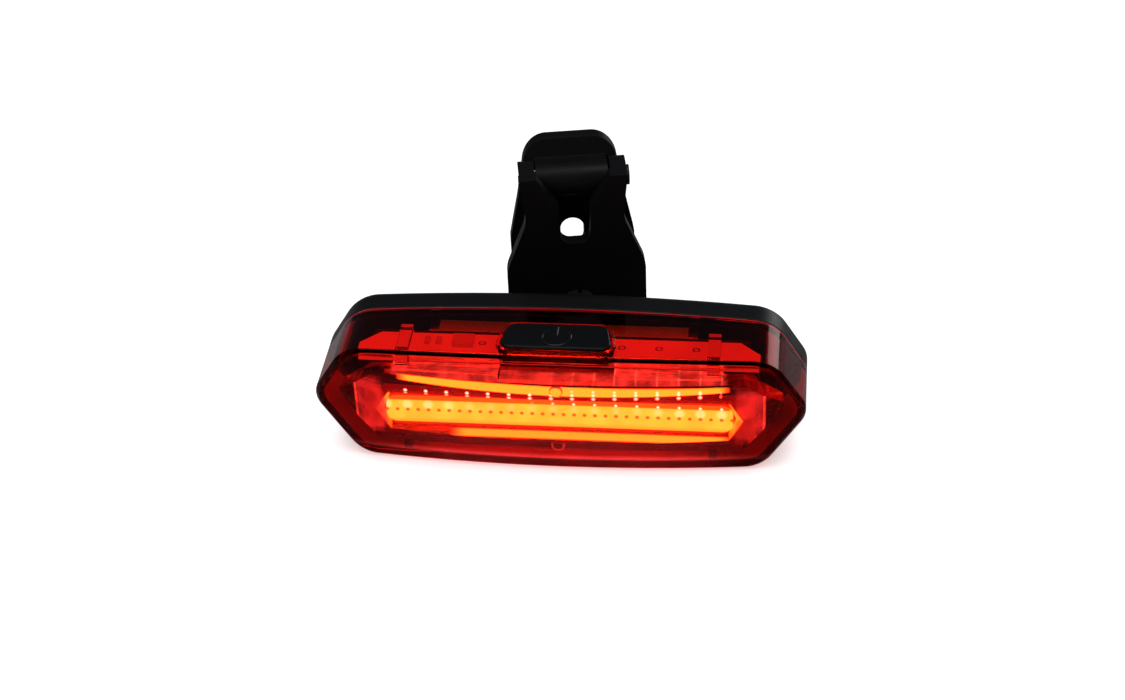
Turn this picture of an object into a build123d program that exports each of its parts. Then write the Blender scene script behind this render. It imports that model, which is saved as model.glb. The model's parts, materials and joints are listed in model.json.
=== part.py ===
from build123d import *
import math
import os

os.makedirs("parts", exist_ok=True)

# A clip-on rear light for a bicycle. Millimetres, +Z up.
# The lamp lies along X and its lens faces -Y. The origin is the centre of the flat
# underside that it rests on. The spring clip stands behind it, turned on its aim pivot.

# Lamp body: a long six-cornered outline, bowed in front, with lens and housing flush
tip_span = 76.6
body_height = 21.0
body_depth = 17.0
body_rear_y = 7.5
body_crown = 1.3
top_end_run = 5.8
bottom_end_run = 7.3
tip_share = 0.495
top_corner_radius = 6.5
tip_radius = 4.0
bottom_corner_radius = 5.0
rear_edge_radius = 2.6
front_bow = 1.7
bow_end_gap = 9.3
housing_wall = 1.8
parting_y = 1.7
parting_chamfer = 0.25
lens_wall = 1.4
lens_edge_chamfer = 0.6
tongue_inset = 0.9
tongue_thickness = 0.8
tongue_depth = 1.4
rim_clearance = 0.08
gasket_thickness = 0.5
gasket_width = 0.75
seat_gap = 0.05
overrun = 2.0
pick_reach = 0.1

# Power button and its opening in the lens
button_front_y = -9.45
button_back_y = -3.3
button_front_half_width = 8.6
button_back_half_width = 7.4
button_corner_radius = 1.6
button_proud = 0.7
button_edge_radius = 0.3
button_wall = 0.8
button_flange = 0.45
button_flange_thickness = 0.5
button_flange_front_y = -9.5
button_gap = 0.15
button_rim_width = 0.55
button_rim_height = 0.25
button_travel = 0.4
stem_radius = 1.3

# Clear optic frame with its light window, hook arms and moulding marks
window_tip_inset = 3.3
window_end_run = 4.6
window_height_share = 0.39
window_throat_share = 0.78
window_throat_inset = 4.1
window_share = 0.395
frame_tip_inset = 3.9
frame_end_run = 6.4
frame_bottom_gap = 1.5
frame_top_gap = 4.3
frame_corner_radius = 0.8
frame_bow_gap = 0.35
frame_rear_y = -4.8
frame_end_y = -5.4
frame_end_thickness = 2.0
frame_lip_rise = 1.3
frame_lip_inset = 3.0
frame_lip_thickness = 1.1
lip_gap_half_width = 8.7
arm_inset = 4.5
arm_width = 1.9
arm_thickness = 0.8
arm_lift = 0.1
arm_hook_drop = 0.5
arm_hook_length = 0.8
gate_mark_radius = 1.0
gate_mark_height = 0.3
upper_gate_drop = 1.3
lower_gate_rise = 1.0

# LED strip: aluminium board, phosphor, dies and the plate that spreads the heat
phosphor_front_y = -7.7
phosphor_thickness = 0.5
phosphor_height_share = 0.56
phosphor_end_gap = 3.5
die_count = 30
die_end_gap = 3.3
die_size = 0.7
die_thickness = 0.3
strip_inset = 1.1
strip_height_share = 0.9
strip_thickness = 1.0
strip_gap = 0.2
spreader_inset = 3.0
spreader_arm_gap = 0.1
spreader_thickness = 1.0

# Main board under the top of the lens, with its switch and parts
board_end_gap = 2.2
board_front_y = -6.8
board_back_y = -2.4
board_drop = 3.2
board_thickness = 1.0
board_chamfer = 2.9
via_radius = 0.4
via_x = 9.6
via_pitch = 5.6
via_count = 3
lone_via_x = -11.6
switch_width = 5.0
switch_depth = 2.8
switch_y = -5.2
switch_height = 0.6
plunger_radius = 0.7
plunger_height = 0.5
chip_share = -0.617
chip_width = 3.2
chip_depth = 2.6
chip_height = 0.8
small_chip_share = -0.851
small_chip_pitch = 1.7
small_chip_count = 2
small_chip_width = 0.8
small_chip_depth = 1.5
small_chip_height = 0.5
board_screw_inset = 0.4
board_screw_y = -4.6
board_screw_radius = 0.65
board_screw_length = 2.0
board_screw_head_radius = 1.15
board_screw_head_height = 0.6

# Inner chassis, battery, and charging board with its socket
chassis_front_y = -1.5
chassis_wall = 1.2
chassis_end_gap = 1.5
chassis_shelf_front_y = -6.0
chassis_shelf_thickness = 1.0
chassis_rib_x = 14.0
chassis_rib_thickness = 1.0
cell_end_gap = 11.8
cell_top_gap = 0.6
cell_thickness = 4.2
cell_gap = 0.2
cell_corner_radius = 1.2
tape_thickness = 0.12
tape_inset = 1.5
tape_foam_gap = 0.25
foam_inset = 2.7
foam_height_share = 0.56
socket_end_gap = 6.5
socket_z = 9.4
socket_half_width = 3.8
socket_height = 2.7
socket_depth = 5.2
socket_wall = 0.35
socket_clearance = 0.15
socket_tongue_half_width = 2.4
socket_tongue_height = 0.5
socket_tongue_length = 3.4
charge_board_half_width = 4.2
charge_board_thickness = 1.0
charge_board_wall_gap = 0.1
charge_led_size = 1.0
charge_led_height = 0.6

# Rubber flap over the charging socket, hinged along its top edge
flap_half_width = 5.6
flap_height = 7.0
flap_thickness = 1.5
flap_recess = 1.1
flap_gap = 0.15
flap_corner_radius = 1.2
flap_pin_radius = 0.4
flap_pin_clearance = 0.05
flap_pin_engagement = 0.9
flap_plug_half_width = 2.9
flap_plug_height = 1.3
flap_plug_depth = 0.6
flap_tab_half_width = 1.8
flap_tab_length = 0.9
flap_tab_thickness = 0.7

# Yoke on the back of the housing, with the upright aim pivot
mount_x = 1.4
yoke_half_width = 9.5
yoke_height = 13.6
yoke_base = 1.6
yoke_corner_radius = 2.5
yoke_z = 9.8
lug_radius = 2.8
lug_thickness = 1.8
lug_side_gap = 0.05
lug_round_gap = 0.3
knuckle_height = 5.6
knuckle_web_half_width = 2.0
aim_screw_radius = 1.25
aim_screw_clearance = 0.05
aim_head_radius = 2.3
aim_head_height = 1.1
aim_slot_width = 0.6
aim_slot_depth = 0.6
aim_washer_radius = 2.6
aim_washer_thickness = 0.4
aim_nut_radius = 2.3
aim_nut_height = 1.5
aim_nut_sides = 6
yoke_screw_x = 6.7
yoke_screw_radius = 0.9
yoke_screw_head_radius = 1.7
yoke_screw_head_height = 0.9
yoke_screw_grip = 1.5
yoke_slot_width = 0.5
yoke_slot_depth = 0.4
yoke_slot_reach = 1.1
clip_turn = 10.0

# Spring clip bracket with its waist, forked ears and notch
clip_gap = 0.6
clip_plate_thickness = 2.2
clip_foot_z = 4.2
clip_foot_half_width = 11.0
clip_shoulder_drop = 13.2
clip_waist_half_width = 7.6
clip_waist_drop = 4.6
clip_ear_half_width = 8.4
clip_foot_radius = 3.0
clip_side_radius = 6.0
hinge_drop = 4.4
ear_radius = 3.1
ear_root_drop = 7.8
ear_lean = 16.5
ear_inner_half_width = 5.9
ear_notch_half_width = 5.7
notch_bottom_drop = 8.8
notch_bottom_half_width = 2.3
notch_throat_half_width = 2.5
notch_throat_drop = 2.2
notch_corner_radius = 1.6
clip_rib_thickness = 1.2
clip_rib_depth = 1.0

# Hinge pin, lever, spring and jaw pads
hinge_pin_radius = 0.9
hinge_pin_clearance = 0.05
hinge_head_radius = 1.6
hinge_head_height = 0.6
ear_side_gap = 0.25
lever_thickness = 2.0
lever_back_gap = 3.6
lever_top_z = 37.2
lever_top_lean = 1.6
lever_neck_drop = 3.4
lever_top_half_width = 6.9
lever_neck_half_width = 7.5
lever_mid_drop = 5.3
lever_mid_half_width = 8.5
lever_hip_drop = 12.8
lever_foot_half_width = 10.0
lever_top_radius = 4.0
lever_foot_radius = 3.0
lever_bend_radius = 3.0
lever_bend_top_z = 17.8
lever_bend_low_z = 13.0
lever_foot_z = 4.8
lever_hole_half_width = 1.9
lever_hole_low_drop = 15.2
lever_hole_high_drop = 9.6
grip_count = 4
grip_pitch = 1.1
grip_radius = 0.35
grip_half_width = 4.6
grip_start = 1.4
barrel_radius = 2.7
barrel_front_gap = 0.3
barrel_bore_radius = 2.1
barrel_end_wall = 1.8
barrel_web_half_height = 1.7
spring_wire_radius = 0.26
spring_mean_radius = 1.54
spring_turns = 5
spring_steps = 12
spring_sides = 8
spring_pitch = 0.94
spring_tail = 1.2
tail_slot_length = 1.2
tail_slot_clearance = 0.15
pad_thickness = 1.2
pad_bottom_z = 6.0
pad_top_z = 12.2
pad_half_width = 7.6
pad_corner_radius = 1.2
pad_groove_count = 4
pad_groove_pitch = 1.3
pad_groove_radius = 0.35
pad_meet_gap = 0.3

# Places worked out from the sizes above
tip_x = tip_span / 2
top_half_width = tip_x - top_end_run
bottom_half_width = tip_x - bottom_end_run
tip_height = body_height * tip_share
body_front_y = body_rear_y - body_depth
bow_half_span = tip_x - bow_end_gap
bow_radius = (bow_half_span ** 2 + front_bow ** 2) / (2 * front_bow)
lens_front_y = body_front_y - front_bow
lens_inner_top_z = body_height - lens_wall
frame_front_y = lens_front_y + lens_wall + frame_bow_gap
housing_inner_y = body_rear_y - housing_wall
frame_tip_x = tip_x - frame_tip_inset
frame_tip_z = tip_height
frame_half_width = frame_tip_x - frame_end_run
frame_bottom_z = lens_wall + frame_bottom_gap
frame_top_z = lens_inner_top_z - frame_top_gap
frame_lip_top_z = frame_top_z + frame_lip_rise
frame_lip_half_width = frame_half_width - frame_lip_inset
arm_x = frame_half_width - arm_inset
chip_x = arm_x * chip_share
small_chip_x = arm_x * small_chip_share
upper_gate_z = frame_top_z - upper_gate_drop
lower_gate_z = frame_bottom_z + lower_gate_rise
window_z = body_height * window_share
window_height = body_height * window_height_share
window_throat_height = window_height * window_throat_share
window_tip_x = frame_tip_x - window_tip_inset
window_half_width = window_tip_x - window_end_run
window_throat_half_width = window_tip_x - window_throat_inset
strip_length = 2 * (window_tip_x - strip_inset - strip_gap)
strip_height = window_height * strip_height_share
spreader_length = strip_length - 2 * spreader_inset
spreader_height = 2 * (window_z - frame_bottom_z - arm_thickness - spreader_arm_gap)
phosphor_length = 2 * (window_tip_x - phosphor_end_gap - strip_inset)
phosphor_height = window_height * phosphor_height_share
die_pitch = (phosphor_length - 2 * die_end_gap) / (die_count - 1)
board_top_z = body_height - board_drop
board_half_width = top_half_width - board_end_gap
board_screw_x = button_back_half_width - board_screw_inset
board_bottom_z = board_top_z - board_thickness
board_middle_y = (board_front_y + board_back_y) / 2
switch_top_z = board_top_z + switch_height
plunger_top_z = switch_top_z + plunger_height
strip_front_y = phosphor_front_y + phosphor_thickness
strip_back_y = strip_front_y + strip_thickness
spreader_back_y = strip_back_y + spreader_thickness
shelf_bottom_z = board_bottom_z - chassis_shelf_thickness
chassis_half_width = board_half_width - chassis_end_gap
cell_half_width = top_half_width - cell_end_gap
tape_half_width = cell_half_width - tape_inset
foam_half_width = cell_half_width - foam_inset
socket_x = top_half_width - socket_end_gap
cell_front_y = chassis_front_y + chassis_wall + cell_gap
cell_back_y = cell_front_y + cell_thickness
cell_bottom_z = housing_wall + cell_gap
cell_top_z = board_bottom_z - cell_top_gap
cell_height = cell_top_z - cell_bottom_z
foam_height = cell_height * foam_height_share
tape_drop = cell_height - foam_height - tape_foam_gap
recess_y = body_rear_y - flap_recess
socket_front_y = recess_y - socket_depth
charge_board_top_z = socket_z - socket_height / 2
charge_board_back_y = housing_inner_y - charge_board_wall_gap
flap_bottom_z = socket_z - flap_height / 2
flap_top_z = socket_z + flap_height / 2
flap_pin_y = recess_y + flap_thickness / 2
flap_pin_z = flap_top_z - flap_thickness / 2
yoke_back_y = body_rear_y + yoke_base
aim_y = yoke_back_y + lug_radius + lug_round_gap
knuckle_bottom_z = yoke_z - knuckle_height / 2
knuckle_top_z = yoke_z + knuckle_height / 2
lug_top_z = knuckle_top_z + lug_side_gap + aim_washer_thickness + lug_thickness
lug_bottom_z = knuckle_bottom_z - lug_side_gap - lug_thickness
plate_front_y = aim_y + lug_radius + clip_gap
plate_back_y = plate_front_y + clip_plate_thickness
hinge_y = plate_back_y + barrel_radius + barrel_front_gap
hinge_z = lever_top_z - hinge_drop
clip_top_z = hinge_z + ear_radius
clip_shoulder_z = hinge_z - clip_shoulder_drop
clip_waist_z = hinge_z - clip_waist_drop
ear_root_z = hinge_z - ear_root_drop
notch_bottom_z = hinge_z - notch_bottom_drop
notch_throat_z = hinge_z - notch_throat_drop
lever_neck_z = lever_top_z - lever_neck_drop
lever_mid_z = hinge_z - lever_mid_drop
lever_hip_z = hinge_z - lever_hip_drop
lever_hole_low_z = hinge_z - lever_hole_low_drop
lever_hole_high_z = hinge_z - lever_hole_high_drop
lever_front_y = hinge_y + lever_back_gap
jaw_y = plate_back_y + 2 * pad_thickness + pad_meet_gap
barrel_half_width = ear_inner_half_width - ear_side_gap


def save(name, shape):
    export_step(shape, "parts/" + name + ".step")
    print(name, len(shape.solids()), round(shape.volume, 3))


def prism_y(flat, front_y, back_y):
    """A flat profile drawn in X and Z, filled from front_y to back_y."""
    return Pos(0, back_y, 0) * extrude(Plane.XZ * flat, amount=back_y - front_y)


def prism_x(flat, low_x, high_x):
    """A flat profile drawn in Y and Z, filled from low_x to high_x."""
    return Pos(low_x, 0, 0) * extrude(Plane.YZ * flat, amount=high_x - low_x)


def prism_z(flat, low_z, high_z):
    return Pos(0, 0, low_z) * extrude(flat, amount=high_z - low_z)


def block(low_x, high_x, low_y, high_y, low_z, high_z):
    solid = Box(high_x - low_x, high_y - low_y, high_z - low_z)
    return Pos((low_x + high_x) / 2, (low_y + high_y) / 2, (low_z + high_z) / 2) * solid


def rod_x(radius, low_x, high_x, y, z):
    return Pos((low_x + high_x) / 2, y, z) * (Rot(0, 90, 0) * Cylinder(radius, high_x - low_x))


def rod_y(radius, x, low_y, high_y, z):
    return Pos(x, (low_y + high_y) / 2, z) * (Rot(90, 0, 0) * Cylinder(radius, high_y - low_y))


def rod_z(radius, x, y, low_z, high_z):
    return Pos(x, y, (low_z + high_z) / 2) * Cylinder(radius, high_z - low_z)


def polygon(points):
    return make_face(Polyline(*points, close=True))


def both_sides(points):
    """Close a right-hand outline with its mirror image on the left."""
    left = [(-x, z) for x, z in reversed(points) if x]
    return polygon(points + left)


def round_corners(flat, radius, wanted):
    """Round the corners whose place passes the test wanted(x, z)."""
    corners = [v for v in flat.vertices() if wanted(v.X, v.Y)]
    return fillet(corners, radius)


def body_outline(inset):
    """The front view of the lamp body, moved in by inset."""
    shoulder_z = body_height - body_crown
    left = (-top_half_width, shoulder_z)
    right = (top_half_width, shoulder_z)
    crown = ThreePointArc(left, (0, body_height), right)
    foot_x = bottom_half_width
    right_side = [right, (tip_x, tip_height), (foot_x, 0)]
    left_side = [(-foot_x, 0), (-tip_x, tip_height), left]
    sides = Polyline(*right_side, *left_side)
    flat = make_face([crown] + list(sides.edges()))
    flat = round_corners(flat, tip_radius, lambda x, z: abs(x) > top_half_width + pick_reach)
    flat = round_corners(flat, bottom_corner_radius, lambda x, z: z < pick_reach)
    flat = round_corners(flat, top_corner_radius, lambda x, z: z > shoulder_z - pick_reach)
    if inset:
        flat = offset(flat, amount=-inset)
    return flat


def behind_bow(front_y):
    """The space behind a front that is bowed in plan and reaches front_y in the middle."""
    low_z = -overrun
    high_z = body_height + overrun
    disc = rod_z(bow_radius, 0, front_y + bow_radius, low_z, high_z)
    reach = tip_span
    return disc & block(-reach, reach, front_y - overrun, body_rear_y + overrun, low_z, high_z)


def button_outline(grow):
    corners = [
        (button_front_half_width, button_front_y),
        (button_back_half_width, button_back_y),
        (-button_back_half_width, button_back_y),
        (-button_front_half_width, button_front_y),
    ]
    flat = polygon(corners)
    flat = fillet(flat.vertices(), button_corner_radius)
    if grow:
        flat = offset(flat, amount=grow)
    return flat


def yoke_screw_places():
    return [(mount_x - yoke_screw_x, yoke_z), (mount_x + yoke_screw_x, yoke_z)]


def housing_body():
    """The black cup, with a rebate inside its rim for the lens and the gasket."""
    outer = prism_y(body_outline(0), parting_y, body_rear_y)
    faces = outer.faces().sort_by(Axis.Y)
    outer = chamfer(faces[0].edges(), parting_chamfer)
    outer = fillet(outer.faces().sort_by(Axis.Y)[-1].edges(), rear_edge_radius)
    cavity = prism_y(body_outline(housing_wall), parting_y - overrun, housing_inner_y)
    shelf_y = parting_y + tongue_depth + gasket_thickness
    rebate = prism_y(body_outline(tongue_inset - rim_clearance), parting_y - overrun, shelf_y)
    return outer - cavity - rebate


def rear_housing():
    shell = housing_body()
    grow = flap_gap
    low = flap_bottom_z - grow
    high = flap_top_z + grow
    half = flap_half_width + grow
    recess = block(-half, half, recess_y, body_rear_y + overrun, low, high)
    edges = recess.edges().filter_by(Axis.Y).group_by(Axis.Z)[0]
    recess = fillet(edges, flap_corner_radius + grow)
    half = socket_half_width + socket_clearance
    half_tall = socket_height / 2 + socket_clearance
    front_y = housing_inner_y - overrun
    port = block(-half, half, front_y, recess_y + overrun, -half_tall, half_tall)
    pin_reach = flap_half_width + flap_gap + flap_pin_engagement
    pin_hole = rod_x(flap_pin_radius, -pin_reach, pin_reach, flap_pin_y, flap_pin_z)
    shell = shell - Pos(socket_x, 0, 0) * recess - Pos(socket_x, 0, socket_z) * port
    shell = shell - Pos(socket_x, 0, 0) * pin_hole
    for x, z in yoke_screw_places():
        shell = shell - rod_y(yoke_screw_radius, x, front_y, body_rear_y + overrun, z)
    return shell


def lens_cover():
    """The clear red cover, with the tongue that sits inside the housing's rim."""
    back_y = parting_y - seat_gap
    start_y = lens_front_y - overrun
    outer = prism_y(body_outline(0), start_y, back_y) & behind_bow(lens_front_y)
    front = outer.faces().sort_by(Axis.Y)[0]
    outer = chamfer(front.edges(), lens_edge_chamfer)
    hollow = prism_y(body_outline(lens_wall), start_y, parting_y + overrun)
    shell = outer - (hollow & behind_bow(lens_front_y + lens_wall))
    end_y = parting_y + tongue_depth
    tongue = prism_y(body_outline(tongue_inset), back_y - tongue_thickness, end_y)
    tongue = tongue - prism_y(body_outline(tongue_inset + tongue_thickness), start_y, end_y + overrun)
    rim_top_z = body_height + button_rim_height
    rim = prism_z(button_outline(button_gap + button_rim_width), lens_inner_top_z, rim_top_z)
    opening = prism_z(button_outline(button_gap), lens_inner_top_z - overrun, rim_top_z + overrun)
    return shell + tongue + rim - opening


def housing_gasket():
    """The soft ring between the tongue's end and the shelf in the rim."""
    front_y = parting_y + tongue_depth
    ring = prism_y(body_outline(tongue_inset), front_y, front_y + gasket_thickness)
    inside = body_outline(tongue_inset + gasket_width)
    return ring - prism_y(inside, front_y - overrun, front_y + overrun)


def power_button():
    """A hollow cap with a flange that keeps it in, and a stem over the switch."""
    top_z = body_height + button_proud
    crown_drop = body_crown * ((button_front_half_width + button_flange) / top_half_width) ** 2
    flange_top_z = lens_inner_top_z - crown_drop - seat_gap
    flange_bottom_z = flange_top_z - button_flange_thickness
    cap = prism_z(button_outline(0), flange_bottom_z, top_z)
    top_face = cap.faces().sort_by(Axis.Z)[-1]
    cap = fillet(top_face.edges(), button_edge_radius)
    flange = prism_z(button_outline(button_flange), flange_bottom_z, flange_top_z)
    side = tip_span
    keep = block(-side, side, button_flange_front_y, side, -side, side)
    cap = cap + (flange & keep)
    cap = cap - prism_z(button_outline(-button_wall), flange_bottom_z - overrun, top_z - button_wall)
    stem = rod_z(stem_radius, 0, switch_y, plunger_top_z + seat_gap, top_z - button_wall / 2)
    return cap + stem


def window_shape(half_width, point_x, height):
    """The long pointed window of the light strip."""
    points = [
        (half_width, window_z + height / 2),
        (point_x, window_z),
        (half_width, window_z - height / 2),
    ]
    return both_sides(points)


def frame_outline():
    points = [
        (frame_half_width, frame_top_z),
        (frame_tip_x, frame_tip_z),
        (frame_half_width, frame_bottom_z),
    ]
    flat = both_sides(points)
    return fillet(flat.vertices(), frame_corner_radius)


def frame_plan():
    """Everything behind the bowed front and the swept-back ends of the frame, seen from above."""
    near = window_tip_x
    far = frame_tip_x
    points = [
        (window_half_width, lens_front_y - overrun),
        (near, frame_end_y - frame_end_thickness),
        (far, frame_end_y),
        (far, frame_end_y + frame_end_thickness),
        (frame_half_width, frame_rear_y),
    ]
    flat = both_sides(points)
    return prism_z(flat, -overrun, body_height + overrun) & behind_bow(frame_front_y)


def hook_arm():
    """A clear arm over the edge of the main board, with a hook at its end."""
    low_x = arm_x - arm_width / 2
    high_x = arm_x + arm_width / 2
    root_z = frame_top_z - arm_thickness
    under_z = board_top_z + arm_lift
    over_z = under_z + arm_thickness
    near_y = board_front_y - arm_lift
    front_y = near_y - frame_lip_thickness
    hook_y = board_back_y + arm_lift
    end_y = hook_y + arm_hook_length
    upright = block(low_x, high_x, front_y, near_y, root_z, over_z)
    run = block(low_x, high_x, front_y, end_y, under_z, over_z)
    hook = block(low_x, high_x, hook_y, end_y, under_z - arm_hook_drop, over_z)
    return upright + run + hook


def lower_arm():
    low_x = arm_x - arm_width / 2
    high_x = arm_x + arm_width / 2
    high_z = frame_bottom_z + arm_thickness
    return block(low_x, high_x, frame_rear_y - arm_thickness, chassis_front_y, frame_bottom_z, high_z)


def gate_marks():
    """The two round marks that moulding leaves, one on each bar of the frame."""
    front_y = frame_front_y - gate_mark_height
    upper = rod_y(gate_mark_radius, 0, front_y, frame_front_y + frame_lip_thickness, upper_gate_z)
    lower = rod_y(gate_mark_radius, 0, front_y, frame_front_y + frame_lip_thickness, lower_gate_z)
    return upper + lower


def optic_frame():
    """The clear frame round the light window, held by its four arms."""
    front_y = lens_front_y + lens_wall
    back_y = frame_end_y + frame_end_thickness
    frame = prism_y(frame_outline(), front_y - overrun, back_y) & frame_plan()
    lip_back_y = frame_front_y + front_bow + frame_lip_thickness
    low_z = frame_top_z - arm_thickness
    half = frame_lip_half_width
    lip = block(-half, half, front_y, lip_back_y, low_z, frame_lip_top_z)
    half = lip_gap_half_width
    gap = block(-half, half, front_y, lip_back_y, frame_top_z, frame_lip_top_z + overrun)
    frame = frame + (lip & behind_bow(frame_front_y)) - gap + gate_marks()
    mouth_flat = window_shape(window_half_width, window_tip_x, window_height)
    mouth = Pos(0, front_y, 0) * (Plane.XZ * mouth_flat)
    throat_x = window_throat_half_width
    throat_flat = window_shape(throat_x - lens_wall, throat_x, window_throat_height)
    throat = Pos(0, strip_front_y, 0) * (Plane.XZ * throat_flat)
    frame = frame - loft([mouth, throat])
    half_long = strip_length / 2 + strip_gap
    half_tall = spreader_height / 2 + strip_gap
    low_z = window_z - half_tall
    high_z = window_z + half_tall
    frame = frame - block(-half_long, half_long, strip_front_y, back_y + overrun, low_z, high_z)
    for arm in (hook_arm(), lower_arm()):
        frame = frame + arm + mirror(arm, about=Plane.YZ)
    return frame


def die_places():
    half = (die_count - 1) / 2
    return [(i - half) * die_pitch for i in range(die_count)]


def led_dies():
    low_y = strip_front_y - die_thickness
    half = die_size / 2
    dies = []
    for x in die_places():
        dies.append(block(x - half, x + half, low_y, strip_front_y, window_z - half, window_z + half))
    return Compound(children=dies)


def led_phosphor():
    """The yellow strip poured over the dies."""
    half = phosphor_length / 2
    tall = phosphor_height / 2
    strip = block(-half, half, phosphor_front_y, strip_front_y, window_z - tall, window_z + tall)
    outer = strip.edges().filter_by(Axis.Y)
    strip = fillet(outer, tall - die_size)
    return strip - led_dies()


def led_strip():
    half = strip_length / 2
    tall = strip_height / 2
    return block(-half, half, strip_front_y, strip_back_y, window_z - tall, window_z + tall)


def heat_spreader():
    half = spreader_length / 2
    tall = spreader_height / 2
    return block(-half, half, strip_back_y, spreader_back_y, window_z - tall, window_z + tall)


def main_board():
    """The long board under the top of the lens, with its cut corners and plated holes."""
    points = [
        (board_half_width, board_front_y),
        (board_half_width, board_back_y - board_chamfer),
        (board_half_width - board_chamfer, board_back_y),
    ]
    board = prism_z(both_sides(points), board_bottom_z, board_top_z)
    low_z = board_bottom_z - overrun
    high_z = board_top_z + overrun
    places = [lone_via_x] + [via_x + i * via_pitch for i in range(via_count)]
    for x in places:
        board = board - rod_z(via_radius, x, board_middle_y, low_z, high_z)
    for x in (-board_screw_x, board_screw_x):
        board = board - rod_z(board_screw_radius, x, board_screw_y, low_z, high_z)
    return board


def board_parts():
    """One driver chip and two small parts beside it, on top of the main board."""
    def chip(x, width, depth, height):
        low_y = board_middle_y - depth / 2
        high_z = board_top_z + height
        return block(x - width / 2, x + width / 2, low_y, low_y + depth, board_top_z, high_z)
    parts = [chip(chip_x, chip_width, chip_depth, chip_height)]
    for i in range(small_chip_count):
        x = small_chip_x + i * small_chip_pitch
        parts.append(chip(x, small_chip_width, small_chip_depth, small_chip_height))
    return Compound(children=parts)


def switch_body():
    half_x = switch_width / 2
    half_y = switch_depth / 2
    can = block(-half_x, half_x, switch_y - half_y, switch_y + half_y, board_top_z, switch_top_z)
    floor_z = switch_top_z - button_travel - seat_gap
    well = rod_z(plunger_radius + seat_gap, 0, switch_y, floor_z, switch_top_z + overrun)
    return can - well


def switch_plunger():
    return rod_z(plunger_radius, 0, switch_y, switch_top_z - seat_gap, plunger_top_z)


def board_screws():
    def screw(x):
        head_top_z = board_top_z + board_screw_head_height
        end_z = board_top_z - board_screw_length
        head = rod_z(board_screw_head_radius, x, board_screw_y, board_top_z, head_top_z)
        return head + rod_z(board_screw_radius, x, board_screw_y, end_z, board_top_z)
    return Compound(children=[screw(-board_screw_x), screw(board_screw_x)])


def inner_chassis():
    """The tray between the light strip and the battery, with the shelf for the board."""
    half = chassis_half_width
    back_y = chassis_front_y + chassis_wall
    web_half = cell_half_width + cell_gap
    web = block(-web_half, web_half, chassis_front_y, back_y, housing_wall, board_bottom_z)
    shelf = block(-half, half, chassis_shelf_front_y, back_y, shelf_bottom_z, board_bottom_z)
    tray = web + shelf
    low_z = window_z - spreader_height / 2
    high_z = window_z + spreader_height / 2
    screw_end_z = board_top_z - board_screw_length
    for side in (-1, 1):
        low = side * chassis_rib_x - chassis_rib_thickness / 2
        high = low + chassis_rib_thickness
        tray = tray + block(low, high, spreader_back_y, chassis_front_y, low_z, high_z)
        x = side * board_screw_x
        tray = tray - rod_z(board_screw_radius, x, board_screw_y, screw_end_z, board_top_z)
        low = side * arm_x - arm_width
        high = low + 2 * arm_width
        tray = tray + block(low, high, chassis_front_y, back_y, housing_wall, shelf_bottom_z)
    return tray


def battery_cell():
    half = cell_half_width
    cell = block(-half, half, cell_front_y, cell_back_y, cell_bottom_z, cell_top_z)
    return fillet(cell.edges().filter_by(Axis.X), cell_corner_radius)


def battery_tape():
    """The amber film folded over the top of the cell."""
    half = tape_half_width
    skin = tape_thickness
    low_z = cell_top_z - tape_drop
    wrap = block(-half, half, cell_front_y - skin, cell_back_y + skin, low_z, cell_top_z + skin)
    wrap = fillet(wrap.edges().filter_by(Axis.X).group_by(Axis.Z)[-1], cell_corner_radius + skin)
    inner = block(-half, half, cell_front_y, cell_back_y, low_z - overrun, cell_top_z)
    inner = fillet(inner.edges().filter_by(Axis.X).group_by(Axis.Z)[-1], cell_corner_radius)
    return wrap - inner


def battery_foam():
    """The soft block that keeps the cell from rattling against the back wall."""
    half = foam_half_width
    high_z = cell_bottom_z + foam_height
    return block(-half, half, cell_back_y, housing_inner_y, cell_bottom_z, high_z)


def charge_board():
    half = charge_board_half_width
    low_z = charge_board_top_z - charge_board_thickness
    low_y = socket_front_y - charge_led_size
    board = block(-half, half, low_y, charge_board_back_y, low_z, charge_board_top_z)
    return Pos(socket_x, 0, 0) * board


def charge_socket():
    """The metal shell of the charging socket, open at the back of the lamp."""
    half = socket_half_width
    tall = socket_height / 2
    shell = block(-half, half, socket_front_y, recess_y, -tall, tall)
    shell = fillet(shell.edges().filter_by(Axis.Y), tall - socket_wall)
    inner_half = half - socket_wall
    inner_tall = tall - socket_wall
    floor_y = socket_front_y + socket_wall
    bore = block(-inner_half, inner_half, floor_y, recess_y + overrun, -inner_tall, inner_tall)
    bore = fillet(bore.edges().filter_by(Axis.Y), inner_tall - socket_wall)
    return Pos(socket_x, 0, socket_z) * (shell - bore)


def charge_tongue():
    half = socket_tongue_half_width
    tall = socket_tongue_height / 2
    start_y = socket_front_y + socket_wall
    tongue = block(-half, half, start_y, start_y + socket_tongue_length, -tall, tall)
    return Pos(socket_x, 0, socket_z) * tongue


def charge_led():
    half = charge_led_size / 2
    low_x = socket_x - half
    low_z = charge_board_top_z
    high_z = low_z + charge_led_height
    low_y = socket_front_y - charge_led_size
    return block(low_x, low_x + charge_led_size, low_y, socket_front_y, low_z, high_z)


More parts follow.
